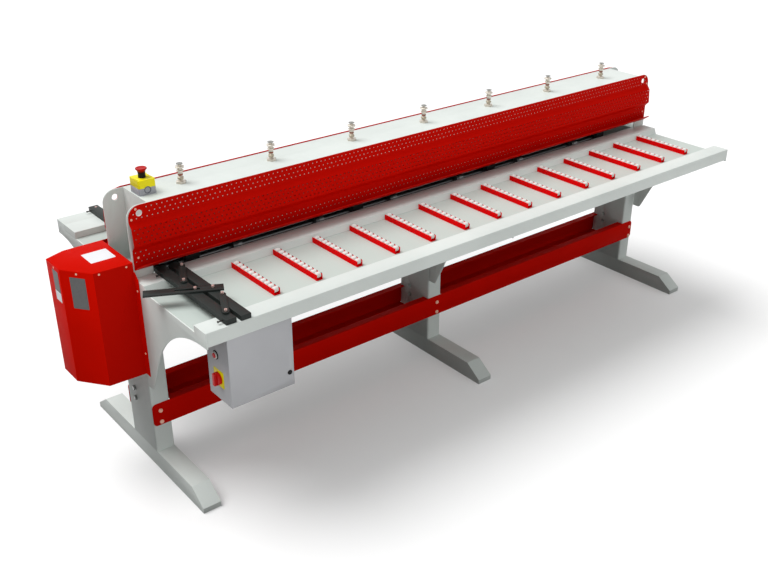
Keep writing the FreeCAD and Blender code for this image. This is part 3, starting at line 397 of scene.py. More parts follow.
def turned(profile, sides=32, closed=False):
    """A part turned about Z from an outline of (radius, height); a closed outline makes a ring."""
    mesh = bmesh.new()
    points = [mesh.verts.new((radius, 0, height)) for radius, height in profile]
    edges = [mesh.edges.new(pair) for pair in zip(points, points[1:])]
    if closed:
        edges.append(mesh.edges.new((points[-1], points[0])))
    bmesh.ops.spin(mesh, geom=points + edges, cent=(0, 0, 0), axis=(0, 0, 1), angle=2 * math.pi,
                   steps=sides, use_merge=True)
    bmesh.ops.remove_doubles(mesh, verts=mesh.verts, dist=NEAR)
    bmesh.ops.recalc_face_normals(mesh, faces=mesh.faces)
    return mesh


def hexagon(flats, low, high, chamfer):
    """An upright hexagon bar with both ends chamfered."""
    mesh = bmesh.new()
    radius = flats / 2 / math.cos(math.pi / 6)
    place = Matrix.Translation((0, 0, (low + high) / 2)) @ Matrix.Rotation(math.pi / 2, 4, "Z")
    bmesh.ops.create_cone(mesh, cap_ends=True, segments=6, radius1=radius, radius2=radius,
                          depth=high - low, matrix=place)
    rims = [edge for edge in mesh.edges if abs(edge.verts[0].co.z - edge.verts[1].co.z) < NEAR]
    bevel(mesh, rims, chamfer)
    return mesh


def rounded(corners, steps=4):
    """Corners (u, v, radius) as the points of an outline, each rounded corner as an arc."""
    points = []
    for index, (u, v, radius) in enumerate(corners):
        if radius == 0:
            points.append((u, v))
            continue
        here = Vector((u, v))
        back = (Vector(corners[index - 1][:2]) - here).normalized()
        ahead = (Vector(corners[(index + 1) % len(corners)][:2]) - here).normalized()
        half = back.angle(ahead) / 2
        centre = here + (back + ahead).normalized() * radius / math.sin(half)
        first = here + back * radius / math.tan(half) - centre
        last = here + ahead * radius / math.tan(half) - centre
        turn = math.atan2(first.x * last.y - first.y * last.x, first.dot(last))
        for step in range(steps + 1):
            points.append(tuple(centre + Matrix.Rotation(turn * step / steps, 2) @ first))
    return points


def plate(corners, thickness):
    """A flat plate that stands on Z = 0, through corners (x, y, radius)."""
    mesh = bmesh.new()
    face = mesh.faces.new([mesh.verts.new((x, y, 0)) for x, y in rounded(corners)])
    raised = bmesh.ops.extrude_face_region(mesh, geom=[face])["geom"]
    top = [item for item in raised if isinstance(item, bmesh.types.BMVert)]
    bmesh.ops.translate(mesh, vec=(0, 0, thickness), verts=top)
    bmesh.ops.recalc_face_normals(mesh, faces=mesh.faces)
    return mesh


def oblong(width, length, radius):
    """The corners of a centred rectangle with one corner radius."""
    half_width = width / 2
    half_length = length / 2
    return [(-half_width, -half_length, radius), (half_width, -half_length, radius),
            (half_width, half_length, radius), (-half_width, half_length, radius)]


# Sheets, bars and boxes whose CAD shape only needs its edges broken

# Width of the broken edge, body, nodes and further settings
BROKEN_EDGES = (
    (1.2, "frame", ("left_leg", "middle_leg", "right_leg"), {}),
    (1.0, "frame", TABLES, {"finish": TABLE_PAINT}),
    (1.0, "frame", ("front_brackets", "rear_brackets", "upper_beam", "lower_beam"), {}),
    (0.7, "frame", ("front_stretcher", "rear_stretcher", "control_box", "control_box_hanger"), {}),
    (0.7, "frame", ("end_cover",), {"finish": COVER_RED}),
    (0.4, "frame", ("front_racks", "rear_racks"), {}),
    (0.9, "frame", ("guide_fixed_bar", "rear_guide_bar", "switch_plate"), {}),
    (0.5, "frame", ("emergency_stop_base", "emergency_stop_lid"), {"moulded": 6.0}),
    (1.2, "box_door", ("control_box_door",), {}),
    (0.9, "guide_bar", ("guide_moving_bar",), {}),
    (0.5, "inner_link", ("guide_inner_link",), {}),
    (0.5, "outer_link", ("guide_outer_link",), {}),
    (0.5, "push_rod", ("guide_push_rod",), {}),
    (1.2, "switch", ("switch_knob",), {}),
)


def eased_nodes():
    for width, body, nodes, extra in BROKEN_EDGES:
        for node in nodes:
            eased(node, width, body, **extra)


# Rear table: its left corner is raised to the rim's height

CORNER_LOW = 824.0
CORNER_HEIGHT = 27.95
CORNER_ROUNDING = 1.4
CORNER = ((-1474.0, 437.5, 1.5), (-1286.0, 437.5, 1.5), (-1286.0, 545.0, 0), (-1474.0, 545.0, 0))


def rear_corner():
    """The raised part, from beyond the end of the racks to under the guide bar."""
    raised = placed(plate(CORNER, CORNER_HEIGHT), Matrix.Translation((0, 0, CORNER_LOW)))
    middle = CORNER_LOW + CORNER_HEIGHT / 2
    rims = [edge for edge in raised.edges
            if edge.calc_face_angle(0) > math.radians(CORNER_ANGLE)
            and all(vert.co.z > middle for vert in edge.verts)]
    bevel(raised, rims, CORNER_ROUNDING, steps=3)
    keep(raised, "rear_table_corner", "grey_paint", finish=TABLE_PAINT)


# Guards: perforated sheet folded along the beam

GUARD_PATH = ((-102, 1130), (-102, 1070), (-118, 1050), (-124, 982), (-103, 960), (-103, 886), (-149, 919))
GUARD_END = 1468.0
GUARD_SHEET = 2.0
GUARD_CORNER = 48.0
LIP_CORNER = 30.0
LIFTING_HOLE = (1425.0, 1099.0, 12.5)
# How much higher the rear guard's rim stands between its rounded corners
REAR_RISE = 4.5
HOLE_PITCH = 20.67
HOLE_RADIUS = 2.9
HOLE_SIDES = 8
HOLE_PHASE = 0.2
TILE_START = -1400.2
TILE_COUNT = 135
# For each flat from the top edge down: distance of each row from the fold above it, and its shift along the beam
HOLE_ROWS = (
    ((14.0, 0.5), (31.9, 0), (49.7, 0.5)), (), ((5.5, 0.5), (22.0, 0), (39.5, 0.5), (56.0, 0)), (),
    ((26.7, 0), (44.7, 0.5)), (),
)
# One more row, only at both ends: its flat, distance and shift
END_ROW = (4, 8.5, 0.5)
FOLD_MARGIN = 3.0
FOLD_SETBACK = 2.2
EDGE_MARGIN = 8.0
ARC_STEPS = 8
SAME_PLACE = 0.01


def flat_lengths():
    return [math.dist(*ends) for ends in zip(GUARD_PATH, GUARD_PATH[1:])]


def perforated(mesh, outline, holes):
    """Fill an outline with sheet that has round holes (x, distance from the top edge, radius)."""
    corners = [mesh.verts.new((x, reach, 0)) for x, reach in outline]
    edges = [mesh.edges.new(pair) for pair in zip(corners, corners[1:] + corners[:1])]
    for x, reach, radius in holes:
        place = Matrix.Translation((x, reach, 0))
        sides = HOLE_SIDES if radius == HOLE_RADIUS else 3 * HOLE_SIDES
        ring = bmesh.ops.create_circle(mesh, segments=sides, radius=radius, matrix=place)["verts"]
        edges += {edge for vert in ring for edge in vert.link_edges}
    bmesh.ops.triangle_fill(mesh, edges=edges, use_beauty=True)


def hole_row(low, high, reach, shift):
    """Holes of one row that keep clear of both ends of a strip."""
    start = HOLE_PHASE + shift * HOLE_PITCH
    first = math.ceil((low - start) / HOLE_PITCH)
    last = math.floor((high - start) / HOLE_PITCH)
    return [(start + HOLE_PITCH * k, reach, HOLE_RADIUS) for k in range(first, last + 1)]


def guard_strip(low, high, end=0):
    """The guard between two places along the beam; end is -1 or 1 where it is an end of the guard."""
    mesh = bmesh.new()
    inner_low = low + EDGE_MARGIN if end < 0 else low
    inner_high = high - EDGE_MARGIN if end > 0 else high
    start = 0.0
    lengths = flat_lengths()
    for index, (length, rows) in enumerate(zip(lengths, HOLE_ROWS)):
        top = start if index == 0 else start + FOLD_MARGIN
        bottom = start + length if index == len(lengths) - 1 else start + length - FOLD_MARGIN
        corners = [(low, top, 0), (high, top, 0), (high, bottom, 0), (low, bottom, 0)]
        if end and index == END_ROW[0]:
            rows = (END_ROW[1:], *rows)
        holes = []
        for reach, shift in rows:
            holes += hole_row(inner_low, inner_high, start + reach, shift)
        if end and index == 0:
            holes = clear_of_corner(holes, end)
            corner = 1 if end > 0 else 0
            corners[corner] = (*corners[corner][:2], GUARD_CORNER)
        if end and index == len(lengths) - 1:
            corner = 2 if end > 0 else 3
            corners[corner] = (*corners[corner][:2], LIP_CORNER)
        perforated(mesh, rounded(corners, ARC_STEPS), holes)
        start += length
        if index < len(lengths) - 1:
            for near, far in ((start - FOLD_MARGIN, start), (start, start + FOLD_MARGIN)):
                perforated(mesh, [(low, near), (high, near), (high, far), (low, far)], [])
    bmesh.ops.remove_doubles(mesh, verts=mesh.verts, dist=SAME_PLACE)
    upward = [face for face in mesh.faces if face.normal.z > 0]
    bmesh.ops.reverse_faces(mesh, faces=upward)
    return fold(mesh)


def clear_of_corner(holes, end):
    """The lifting hole, and the small holes that keep clear of it and of the rounded corner."""
    x, z, radius = LIFTING_HOLE
    lifting = Vector((x * end, GUARD_PATH[0][1] - z))
    centre = Vector(((GUARD_END - GUARD_CORNER) * end, GUARD_CORNER))
    kept = [(*lifting, radius)]
    for hole in holes:
        place = Vector(hole[:2])
        beyond = place - centre
        in_corner = beyond.x * end > 0 and beyond.y < 0 and beyond.length > GUARD_CORNER - EDGE_MARGIN
        if (place - lifting).length > radius + EDGE_MARGIN and not in_corner:
            kept.append(hole)
    return kept


def fold(mesh):
    """Bend the unfolded sheet along the guard's path, with a small radius at each fold."""
    angles = [math.atan2(after[1] - before[1], after[0] - before[0])
              for before, after in zip(GUARD_PATH, GUARD_PATH[1:])]
    flat_place = {vert: vert.co.y for vert in mesh.verts}
    line = sum(flat_lengths())
    creases = []
    for index in range(len(angles) - 1, 0, -1):
        line -= flat_lengths()[index]
        creases += [edge for edge in mesh.edges
                    if all(abs(flat_place[vert] - line) < SAME_PLACE for vert in edge.verts)]
        beyond = [vert for vert, place in flat_place.items() if place > line + SAME_PLACE]
        turn = Matrix.Rotation(angles[index] - angles[index - 1], 3, "X")
        bmesh.ops.rotate(mesh, verts=beyond, cent=(0, line, 0), matrix=turn)
    bevel(mesh, creases, FOLD_SETBACK, steps=3)
    bmesh.ops.rotate(mesh, verts=mesh.verts, cent=(0, 0, 0), matrix=Matrix.Rotation(angles[0], 3, "X"))
    bmesh.ops.translate(mesh, vec=(0, *GUARD_PATH[0]), verts=mesh.verts)
    return mesh


def guards():
    for name, side in (("front_guard", 1), ("rear_guard", -1)):
        tile = guard_strip(TILE_START, TILE_START + HOLE_PITCH)
        steps = [Matrix.Translation((HOLE_PITCH * k, 0, 0)) for k in range(TILE_COUNT)]
        mesh = placed(tile, *steps)
        tile_end = TILE_START + HOLE_PITCH * TILE_COUNT
        put(mesh, guard_strip(-GUARD_END, TILE_START, -1), Matrix.Identity(4))
        put(mesh, guard_strip(tile_end, GUARD_END, 1), Matrix.Identity(4))
        bmesh.ops.remove_doubles(mesh, verts=mesh.verts, dist=WELD)
        if side < 0:
            rim = [vert for vert in mesh.verts
                   if vert.co.z > GUARD_PATH[0][1] - RIM_BAND and abs(vert.co.x) < GUARD_END - GUARD_CORNER]
            bmesh.ops.translate(mesh, vec=(0, 0, REAR_RISE), verts=rim)
            bmesh.ops.scale(mesh, vec=(1, -1, 1), verts=mesh.verts)
            bmesh.ops.reverse_faces(mesh, faces=mesh.faces)
        bmesh.ops.solidify(mesh, geom=mesh.faces[:], thickness=GUARD_SHEET)
        keep(mesh, f"{name}_sheet", "red_paint", stands_for=[name])


# Rollers on pins between the flanges of each rack

RACK_X = [-1108.4 + 186.6 * k for k in range(14)]
ROLLER_Y = [-473.5 + 27.0 * k for k in range(11)]
ROLLER_Z = 841.5
ROLLER_PROFILE = (
    (0, -10.8), (7.0, -10.8), (9.4, -9.8), (11.0, -7.0), (11.0, 7.0), (9.4, 9.8), (7.0, 10.8), (0, 10.8),
)
PIN_PROFILE = (
    (0, -13.8), (1.6, -13.8), (2.2, -13.2), (2.2, 13.6), (5.0, 13.6), (5.2, 14.2), (5.2, 17.2), (0, 17.8),
)


def rack_rollers():
    for name, side, stands_for in (("front", 1, ["front_rack_rollers"]), ("rear", -1, [])):
        places = [at(x, y * side, ROLLER_Z, (1, 0, 0)) for x in RACK_X for y in ROLLER_Y]
        rollers = placed(turned(ROLLER_PROFILE, sides=16), *places)
        keep(rollers, f"{name}_rollers", "roller_white", stands_for=stands_for)
        pins = placed(turned(PIN_PROFILE, sides=8), *places)
        keep(pins, f"{name}_roller_pins", "dark_screw")


# Screws and bolts

def bolt_head(flats, height, washer, radius):
    """A hexagon head with chamfers on a washer that stands on Z = 0."""
    edge = 0.4
    disc = turned((
        (0, 0), (radius - edge, 0), (radius, edge), (radius, washer - edge), (radius - edge, washer), (0, washer),
    ), 24)
    return put(hexagon(flats, washer, height, flats * 0.06), disc, Matrix.Identity(4))


def pan_head(radius, height):
    """A domed screw head with a round driving recess."""
    return turned((
        (0, 0), (radius, 0), (radius, height * 0.3), (radius * 0.85, height * 0.75), (radius * 0.5, height),
        (radius * 0.42, height), (radius * 0.36, height * 0.35), (0, height * 0.3),
    ), 16)


def button_head(radius, height):
    """A low round head with a small driving recess."""
    return turned((
        (0, 0), (radius, 0), (radius, height * 0.2), (radius * 0.9, height * 0.6), (radius * 0.7, height * 0.9),
        (radius * 0.45, height), (radius * 0.38, height * 0.95), (radius * 0.34, height * 0.5), (0, height * 0.45),
    ), 24)


def socket_head(radius, height):
    """A cap screw head with a deep hexagon-sized socket."""
    edge = radius * 0.12
    socket = radius * 0.5
    return turned((
        (0, 0), (radius - edge, 0), (radius, edge), (radius, height - edge), (radius - edge, height),
        (socket + edge, height), (socket, height - edge), (socket, height * 0.4), (0, height * 0.35),
    ), 24)


# Round heads: radius and height
STRETCHER_BOLT = (9.0, 6.0)
SHEET_SCREW = (4.4, 3.0)
COVER_LID_SCREW = (4.0, 0.6)
# Hexagon head: width across flats, top of the head, thickness and radius of the washer
COLUMN_BOLT = (17.0, 9.0, 1.8, 11.5)
BOLT_X = (-1440.0, 13.0, 1455.0)
BOLT_Z = (214.0, 266.0)
STRETCHER_FACE = 107.0
OUTER_FACE = 1474.0
COLUMN_BOLTS = ((34.0, 270.0), (34.0, 317.0))
GUARD_FACE = 102.0
# Place along the beam, height and how far the guard stands off the beam there
GUARD_SCREWS = ((1457.0, 1080.0, 0.0), (1437.0, 1116.5, 0.0), (1449.0, 931.0, 1.0))
COVER_SCREWS = ((-122.0, 811.0), (-122.0, 547.0), (174.0, 811.0), (174.0, 547.0))
COVER_FLANGE_FACE = -1476.0


def fasteners():
    places = [at(x, STRETCHER_FACE * side, z, (0, side, 0))
              for side in (-1, 1) for x in BOLT_X for z in BOLT_Z]
    keep(placed(button_head(*STRETCHER_BOLT), *places), "stretcher_bolt_heads", "zinc",
         stands_for=["frame_bolts"], finish=SCREW_LIGHT)
    places = [at(-OUTER_FACE, y, z, (-1, 0, 0)) for y, z in COLUMN_BOLTS]
    keep(placed(bolt_head(*COLUMN_BOLT), *places), "column_bolt_heads", "zinc", finish=COLUMN_BOLT_STEEL)
    places = [at(x * end, (GUARD_FACE + out) * side, z, (0, side, 0))
              for side in (-1, 1) for end in (-1, 1) for x, z, out in GUARD_SCREWS]
    places += [at(COVER_FLANGE_FACE, y, z, (-1, 0, 0)) for y, z in COVER_SCREWS]
    keep(placed(pan_head(*SHEET_SCREW), *places), "sheet_screw_heads", "zinc",
         stands_for=["sheet_screws"], finish=SCREW_LIGHT)


# Adjusters: lock nut, ring, sleeve with a collar, hexagon head and cap on each screw

STATIONS = [400.0 * (k - 3) for k in range(7)]
BEAM_TOP = 1130.0
BUSH_RADIUS = 17.0
# Radius and height of the head, and its height over the beam
SET_SCREW = (2.4, 4.0)
SET_SCREW_RISE = 4.0
SHANK_RADIUS = 8.5
SHANK_LOW = -158.0
THREAD_DEPTH = 0.8
# Lower end, upper end and pitch
THREAD = (8.0, 37.0, 2.0)
SLEEVE = (
    (0, 37), (8.2, 37), (8.8, 38), (8.8, 45), (13.0, 46.4), (14.0, 47.2), (14.0, 50.8), (13.2, 51.6),
    (8.4, 53), (8.4, 61), (6.0, 61.4), (6.0, 75), (0, 75),
)
CAP = ((0, 75), (11.8, 75), (12.6, 75.6), (12.6, 77.0), (11.8, 77.5), (4, 77.6), (3.4, 76.8), (0, 76.8))
# Width across flats, lower end, upper end and chamfer
HEAD = (31.6, 60.6, 66.8, 1.2)
LOCK_NUT = (22.0, 16.0, 25.0, 1.4)
RING = ((8.0, 31), (9.6, 31.4), (9.8, 33.6), (9.6, 35.6), (8.0, 36))


def threaded_shank():
    """The screw's shank with rounded thread crests where it shows."""
    low, high, pitch = THREAD
    profile = [(0, SHANK_LOW), (SHANK_RADIUS, SHANK_LOW), (SHANK_RADIUS, low)]
    for turn in range(int((high - low) / pitch)):
        start = low + turn * pitch
        profile += [(SHANK_RADIUS - THREAD_DEPTH, start + pitch * 0.4), (SHANK_RADIUS, start + pitch)]
    return turned(profile + [(0, high)], 24)


def adjusters():
    eased("adjuster_bushes", width=1.0)
    for number, x in enumerate(STATIONS, start=1):
        place = at(x, 0, BEAM_TOP)
        body = f"screw_{number}"
        bright = placed(threaded_shank(), place)
        put(bright, turned(SLEEVE, sides=24), place)
        put(bright, hexagon(*HEAD), place)
        keep(bright, f"adjuster_screw_{number}", "zinc", body, [f"adjusting_screw_{number}"])
        parts = (
            ("nut", hexagon(*LOCK_NUT), NUT_BRONZE),
            ("cap", turned(CAP, sides=24), CAP_GREY),
            ("ring", turned(RING, sides=24, closed=True), RING_COPPER),
        )
        for name, part, finish in parts:
            keep(placed(part, place), f"adjuster_{name}_{number}", "dark_screw", body, finish=finish)
    set_screws = [at(x + BUSH_RADIUS, 0, BEAM_TOP + SET_SCREW_RISE, (1, 0, 0)) for x in STATIONS]
    keep(placed(socket_head(*SET_SCREW), *set_screws), "bush_set_screws", "dark_screw")


# Emergency stop: knockout ring in the base, collar and mushroom

STOP_PLACE = (-1351.0, 3.0)
STOP_FRONT = -34.0
STOP_LID_TOP = 1187.0
KNOCKOUT_Z = 1148.5
COLLAR = (
    (8.3, 0), (14.0, 0), (14.0, 7.4), (13.2, 8.2), (13.2, 9.2), (13.6, 10.0), (13.6, 18.4), (13.0, 19), (8.3, 19),
)
MUSHROOM = (
    (0, -20), (8.0, -20), (8.0, 24.3), (13.9, 24.3), (13.9, 19.6), (14.4, 19.4), (14.9, 23.0), (16.4, 27.0),
    (19.4, 30.4), (20.8, 32.0), (21.2, 33.8), (20.6, 35.6), (19.0, 36.4), (17.0, 36.0), (14.0, 34.6),
    (8.0, 34.0), (0, 33.8),
)
KNOCKOUT = ((10.6, -0.6), (13.2, -0.6), (13.2, 0.6), (12.6, 1.0), (11.2, 1.0), (10.6, 0.6))


def emergency_stop():
    x, y = STOP_PLACE
    collar = placed(turned(COLLAR, sides=40, closed=True), at(x, y, STOP_LID_TOP))
    keep(collar, "stop_collar", "lock_black", stands_for=["emergency_stop_collar"])
    mushroom = placed(turned(MUSHROOM, sides=48), at(x, y, STOP_LID_TOP))
    keep(mushroom, "stop_mushroom", "red_plastic", "stop_button", ["emergency_stop_button"],
         finish=STOP_CAP_RED, crease=40)
    ring = placed(turned(KNOCKOUT, sides=32, closed=True), at(x, STOP_FRONT, KNOCKOUT_Z, (0, -1, 0)))
    keep(ring, "stop_knockout_ring", "stop_grey", finish=STOP_DARK_GREY)


# Control box: button, lock and blank door

BOX_LEFT = -1397.0
BUTTON_AT = (-531.0, 704.0)
GASKET = ((13.5, 0), (17.0, 0), (17.0, 2.2), (16.2, 3.0), (13.5, 3.0))
BEZEL = ((9.3, 0), (13.5, 0), (13.5, 6.2), (12.6, 7.0), (10.2, 7.0), (9.3, 6.2))
BUTTON = ((0, 3.5), (9.0, 3.5), (9.0, 9.2), (8.2, 10.0), (5.0, 9.7), (0, 9.6))
LOCK_AT = (-1155.0, -617.0, 580.0)
LOCK_RECESS = 2.2
LOCK = ((0, -8), (9.0, -8), (9.0, 2.2), (8.2, 3.0), (6.0, 3.0), (5.4, LOCK_RECESS), (0, LOCK_RECESS))
TONGUE = ((-6, -6, 0), (14, -6, 2), (14, 6, 2), (-6, 6, 0))
TONGUE_THICKNESS = 2.0
TONGUE_BEHIND = 10.0
# Width, length and corner radius
KEY_BAR = (3.0, 9.0, 1.2)
KEY_BAR_HEIGHT = 0.7


def box_fittings():
    y, z = BUTTON_AT
    place = at(BOX_LEFT, y, z, (-1, 0, 0))
    gasket = placed(turned(GASKET, sides=32, closed=True), place)
    keep(gasket, "button_gasket", "lock_black", stands_for=["start_button_ring"])
    bezel = placed(turned(BEZEL, sides=32, closed=True), place)
    keep(bezel, "button_bezel", "lock_black", finish=BEZEL_WHITE)
    button = placed(turned(BUTTON, sides=32), place)
    keep(button, "push_button", "red_plastic", "start_push", ["start_button"])
    lock = placed(turned(LOCK, sides=28), at(*LOCK_AT, (0, -1, 0)))
    x, front, z = LOCK_AT
    put(lock, plate(oblong(*KEY_BAR), KEY_BAR_HEIGHT), at(x, front - LOCK_RECESS, z, (0, -1, 0)))
    behind = Matrix.Translation((x, front + TONGUE_BEHIND, z)) @ Matrix.Rotation(math.pi / 2, 4, "X")
    put(lock, plate(TONGUE, TONGUE_THICKNESS), behind)
    keep(lock, "box_quarter_turn_lock", "lock_black", "box_lock", ["control_box_lock"])


# Side guide: pins in the bars and clamp screws

PIN_SEAT = 878.6
# Radius and height
PIN_HEAD = (5.6, 8.0)
# Lower end, radius and upper end, from the seat of the head
PIN_SHANK = (-6.3, 4.0, 0.4)
FIXED_PINS = ((-1363.0, -273.0), (-1363.0, -566.0), (-1363.0, -356.0))
MOVING_PINS = ((-1308.0, -156.0), (-1308.0, -449.0), (-1308.0, -384.0))
CLAMPS = ((-1391.0, -150.0), (-1391.0, -590.0), (-1336.0, 590.0))
CLAMP_HEIGHT = 862.0
REAR_BAR_SCREW = (-1311.0, 594.0, 871.8)
REAR_BAR_SCREW_SIZE = (5.0, 1.5)
CLAMP = ((0, 0), (2.5, 0), (2.5, 16.0), (3.4, 16.0), (4.0, 16.5), (4.0, 19.5), (3.4, 20.0), (0, 20.0))


def shouldered_pin():
    low, radius, top = PIN_SHANK
    shank = turned(((0, low), (radius, low), (radius, top), (0, top)), 24)
    return put(socket_head(*PIN_HEAD), shank, Matrix.Identity(4))


def guide_fittings():
    fixed = placed(shouldered_pin(), *[at(x, y, PIN_SEAT) for x, y in FIXED_PINS])
    keep(fixed, "guide_fixed_pins", "dark_screw", stands_for=["guide_fixed_screws"], finish=PIN_STEEL)
    moving = placed(shouldered_pin(), *[at(x, y, PIN_SEAT) for x, y in MOVING_PINS])
    keep(moving, "guide_moving_pin_heads", "dark_screw", "guide_bar", ["guide_moving_pins"],
         finish=PIN_STEEL)
    clamps = placed(turned(CLAMP, sides=16), *[at(x, y, CLAMP_HEIGHT, (-1, 0, 0)) for x, y in CLAMPS])
    keep(clamps, "guide_clamp_screws", "dark_screw")
    screw = placed(pan_head(*REAR_BAR_SCREW_SIZE), at(*REAR_BAR_SCREW))
    keep(screw, "rear_bar_screw", "dark_screw", finish=PIN_STEEL)


# End cover: flush screws and blank badge plates

COVER_TOP_SCREWS = (
    ((-1704.35, 60.5, 908.0), (-1, -0.01, 0)), ((-1663.4, -45.0, 908.0), (-0.805, -0.593, 0)),
    ((-1602.0, -100.7, 909.0), (-0.03, -1, 0)), ((-1499.3, -104.1, 909.0), (-0.03, -1, 0)),
)
TOP_BADGE = (-1545.0, 29.5, 918.0)
SLANT_BADGE = (-1662.6, -46.1, 831.0)
SLANT_TURN = math.atan2(81.0, 110.0)
# Width, length and corner radius
TOP_BADGE_SIZE = (96.0, 92.0, 3.0)
SLANT_BADGE_SIZE = (125.0, 62.0, 2.0)
LEFT_BADGE_WIDTH = 50.0
LEFT_BADGE_CORNER = 1.0
BADGE_THICKNESS = 0.5
LEFT_BADGE_THICKNESS = 0.4
# Left plate: a dark field over a white one, each with its middle (x, y, z), height and finish
LEFT_BADGES = {
    "cover_left_plate": ((-1704.36, 51.0, 857.5), 85.0, BADGE_GREY),
    "cover_left_lower_plate": ((-1704.36, 51.0, 795.5), 39.0, BADGE_WHITE),
}
# Outline in x and z of the rear wall's end, which laps behind the end plate
REAR_LAP = ((-1474.0, 856.0, 0), (-1444.0, 856.0, 4.0), (-1444.0, 918.0, 0), (-1474.0, 918.0, 0))
REAR_LAP_Y = 157.0
REAR_LAP_THICKNESS = 1.5


def cover_fittings():
    heads = [at(*place, facing) for place, facing in COVER_TOP_SCREWS]
    keep(placed(pan_head(*COVER_LID_SCREW), *heads), "cover_lid_screws", "zinc", finish=SCREW_LIGHT)
    upright = Matrix.Translation((0, REAR_LAP_Y, 0)) @ Matrix.Rotation(math.pi / 2, 4, "X")
    lap = placed(plate(REAR_LAP, REAR_LAP_THICKNESS), upright)
    keep(lap, "cover_rear_lap", "red_paint", finish=COVER_RED)
    badge = placed(plate(oblong(*TOP_BADGE_SIZE), BADGE_THICKNESS), at(*TOP_BADGE))
    keep(badge, "cover_top_plate", "grey_paint", finish=BADGE_WHITE)
    upended = Matrix.Rotation(-math.pi / 2, 4, "Y")
    slant = Matrix.Translation(SLANT_BADGE) @ Matrix.Rotation(SLANT_TURN, 4, "Z") @ upended
    badge = placed(plate(oblong(*SLANT_BADGE_SIZE), BADGE_THICKNESS), slant)
    keep(badge, "cover_slant_plate", "grey_paint", finish=BADGE_GREY)
    for name, (place, height, finish) in LEFT_BADGES.items():
        badge = plate(oblong(height, LEFT_BADGE_WIDTH, LEFT_BADGE_CORNER), LEFT_BADGE_THICKNESS)
        keep(placed(badge, Matrix.Translation(place) @ upended), name, "grey_paint", finish=finish)


carry_materials()
eased_nodes()
rear_corner()
guards()
rack_rollers()
fasteners()
adjusters()
emergency_stop()
box_fittings()
guide_fittings()
cover_fittings()


# Floor, light and camera

FOCAL = 960.82
PHOTO_WIDTH = 768
SENSOR_WIDTH = 36.0
CAMERA_PLACE = (-2.7290, -3.1092, 2.4150)
CAMERA_YAW = 0.6779
CAMERA_PITCH = 0.4724
FLOOR_REACH = 40.0
FLOOR_GLOW = 0.18
FLOOR_SEEN = (236, 236, 236)
FLOOR_BOUNCE_FRONT = (225, 225, 225)
FLOOR_BOUNCE_SIDES = (40, 40, 40)
BRIGHT_FLOOR = (-0.45, -1.1)
SKY_LOW = 0.02
SKY_HIGH = 0.7
# Each lamp: direction to it, strength and the angle it fills
LAMPS = {
    "key_light": ((-0.31, 0.345, 0.887), 2.3, 40),
    "front_light": ((0.15, -0.95, 0.2), 0.5, 60),
}


def seen_ray(finish):
    """1 for rays that show the surroundings: from the camera, off gloss and through glass."""
    path = finish.tree.nodes.new("ShaderNodeLightPath")
    camera_ray, glossy, through = [Value(finish, path.outputs[f"Is {kind} Ray"])
                                   for kind in ("Camera", "Glossy", "Transmission")]
    return (camera_ray + glossy + through).between(0.0, 1.0)


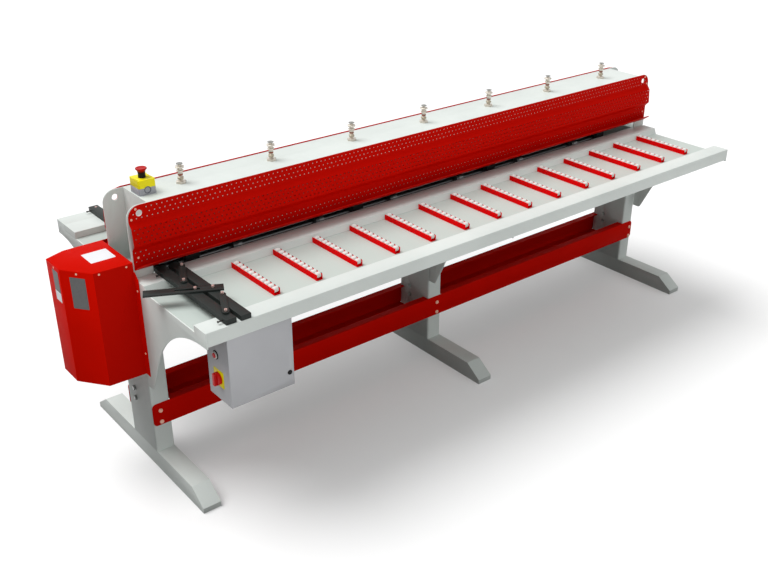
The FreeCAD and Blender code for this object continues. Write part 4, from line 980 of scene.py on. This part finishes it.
def floor():
    mesh = bmesh.new()
    bmesh.ops.create_grid(mesh, x_segments=1, y_segments=1, size=FLOOR_REACH)
    sheet = bpy.data.meshes.new("floor")
    mesh.to_mesh(sheet)
    mesh.free()
    thing = bpy.data.objects.new("floor", sheet)
    bpy.context.scene.collection.objects.link(thing)
    finish = Finish("pale_floor", FLOOR_SEEN, 0.9, **{"Specular IOR Level": 0.0})
    glow = finish.node("Emission", None, {"Color": (1, 1, 1, 1), "Strength": FLOOR_GLOW})
    both = finish.node("AddShader", None, {0: Value(finish, finish.shader.outputs[0]), 1: glow})
    ahead = 1 - finish.axis("Y").between(BRIGHT_FLOOR[1], BRIGHT_FLOOR[0])
    colour = finish.mix(ahead, linear(FLOOR_BOUNCE_SIDES), linear(FLOOR_BOUNCE_FRONT))
    bounce = finish.node("BsdfDiffuse", None, {"Color": colour})
    choice = finish.node("MixShader", None, {0: seen_ray(finish), 1: bounce, 2: both})
    finish.tree.links.new(choice.socket, finish.tree.nodes["Material Output"].inputs["Surface"])
    thing.data.materials.append(finish.material)


class Sky:
    """The world's nodes, with the same way to add one as a finish has."""

    node = Finish.node

    def __init__(self):
        world = bpy.data.worlds.new("studio")
        bpy.context.scene.world = world
        world.use_nodes = True
        self.tree = world.node_tree
        self.tree.nodes.clear()

    def build(self):
        """Soft light that is stronger from above, and plain white where the surroundings show."""
        direction = self.node("TexCoord", output="Generated")
        height = self.node("SeparateXYZ", None, {0: direction}, output="Z")
        strength = self.node("MapRange", None, {0: height, 1: 0.0, 2: 1.0, 3: SKY_LOW, 4: SKY_HIGH})
        fill = self.node("Background", None, {"Color": (1, 1, 1, 1), "Strength": strength})
        white = self.node("Background", None, {"Color": (1, 1, 1, 1), "Strength": 1.0})
        both = self.node("MixShader", None, {0: seen_ray(self), 1: fill, 2: white})
        out = self.tree.nodes.new("ShaderNodeOutputWorld")
        self.tree.links.new(both.socket, out.inputs["Surface"])


def lamps():
    """A broad key from above, behind and left, and a weaker fill from the front."""
    for name, (direction, strength, spread) in LAMPS.items():
        lamp = bpy.data.lights.new(name, "SUN")
        lamp.energy = strength
        lamp.angle = math.radians(spread)
        thing = bpy.data.objects.new(name, lamp)
        bpy.context.scene.collection.objects.link(thing)
        thing.rotation_euler = (-Vector(direction)).to_track_quat("-Z", "Y").to_euler()


def camera():
    lens = bpy.data.cameras.new("camera")
    lens.sensor_fit = "HORIZONTAL"
    lens.sensor_width = SENSOR_WIDTH
    lens.lens = FOCAL * SENSOR_WIDTH / PHOTO_WIDTH
    lens.clip_end = 200.0
    thing = bpy.data.objects.new("camera", lens)
    bpy.context.scene.collection.objects.link(thing)
    thing.location = CAMERA_PLACE
    thing.rotation_euler = (math.pi / 2 - CAMERA_PITCH, 0, -CAMERA_YAW)
    bpy.context.scene.camera = thing


bpy.context.scene.view_settings.view_transform = "Standard"
floor()
Sky().build()
lamps()
camera()
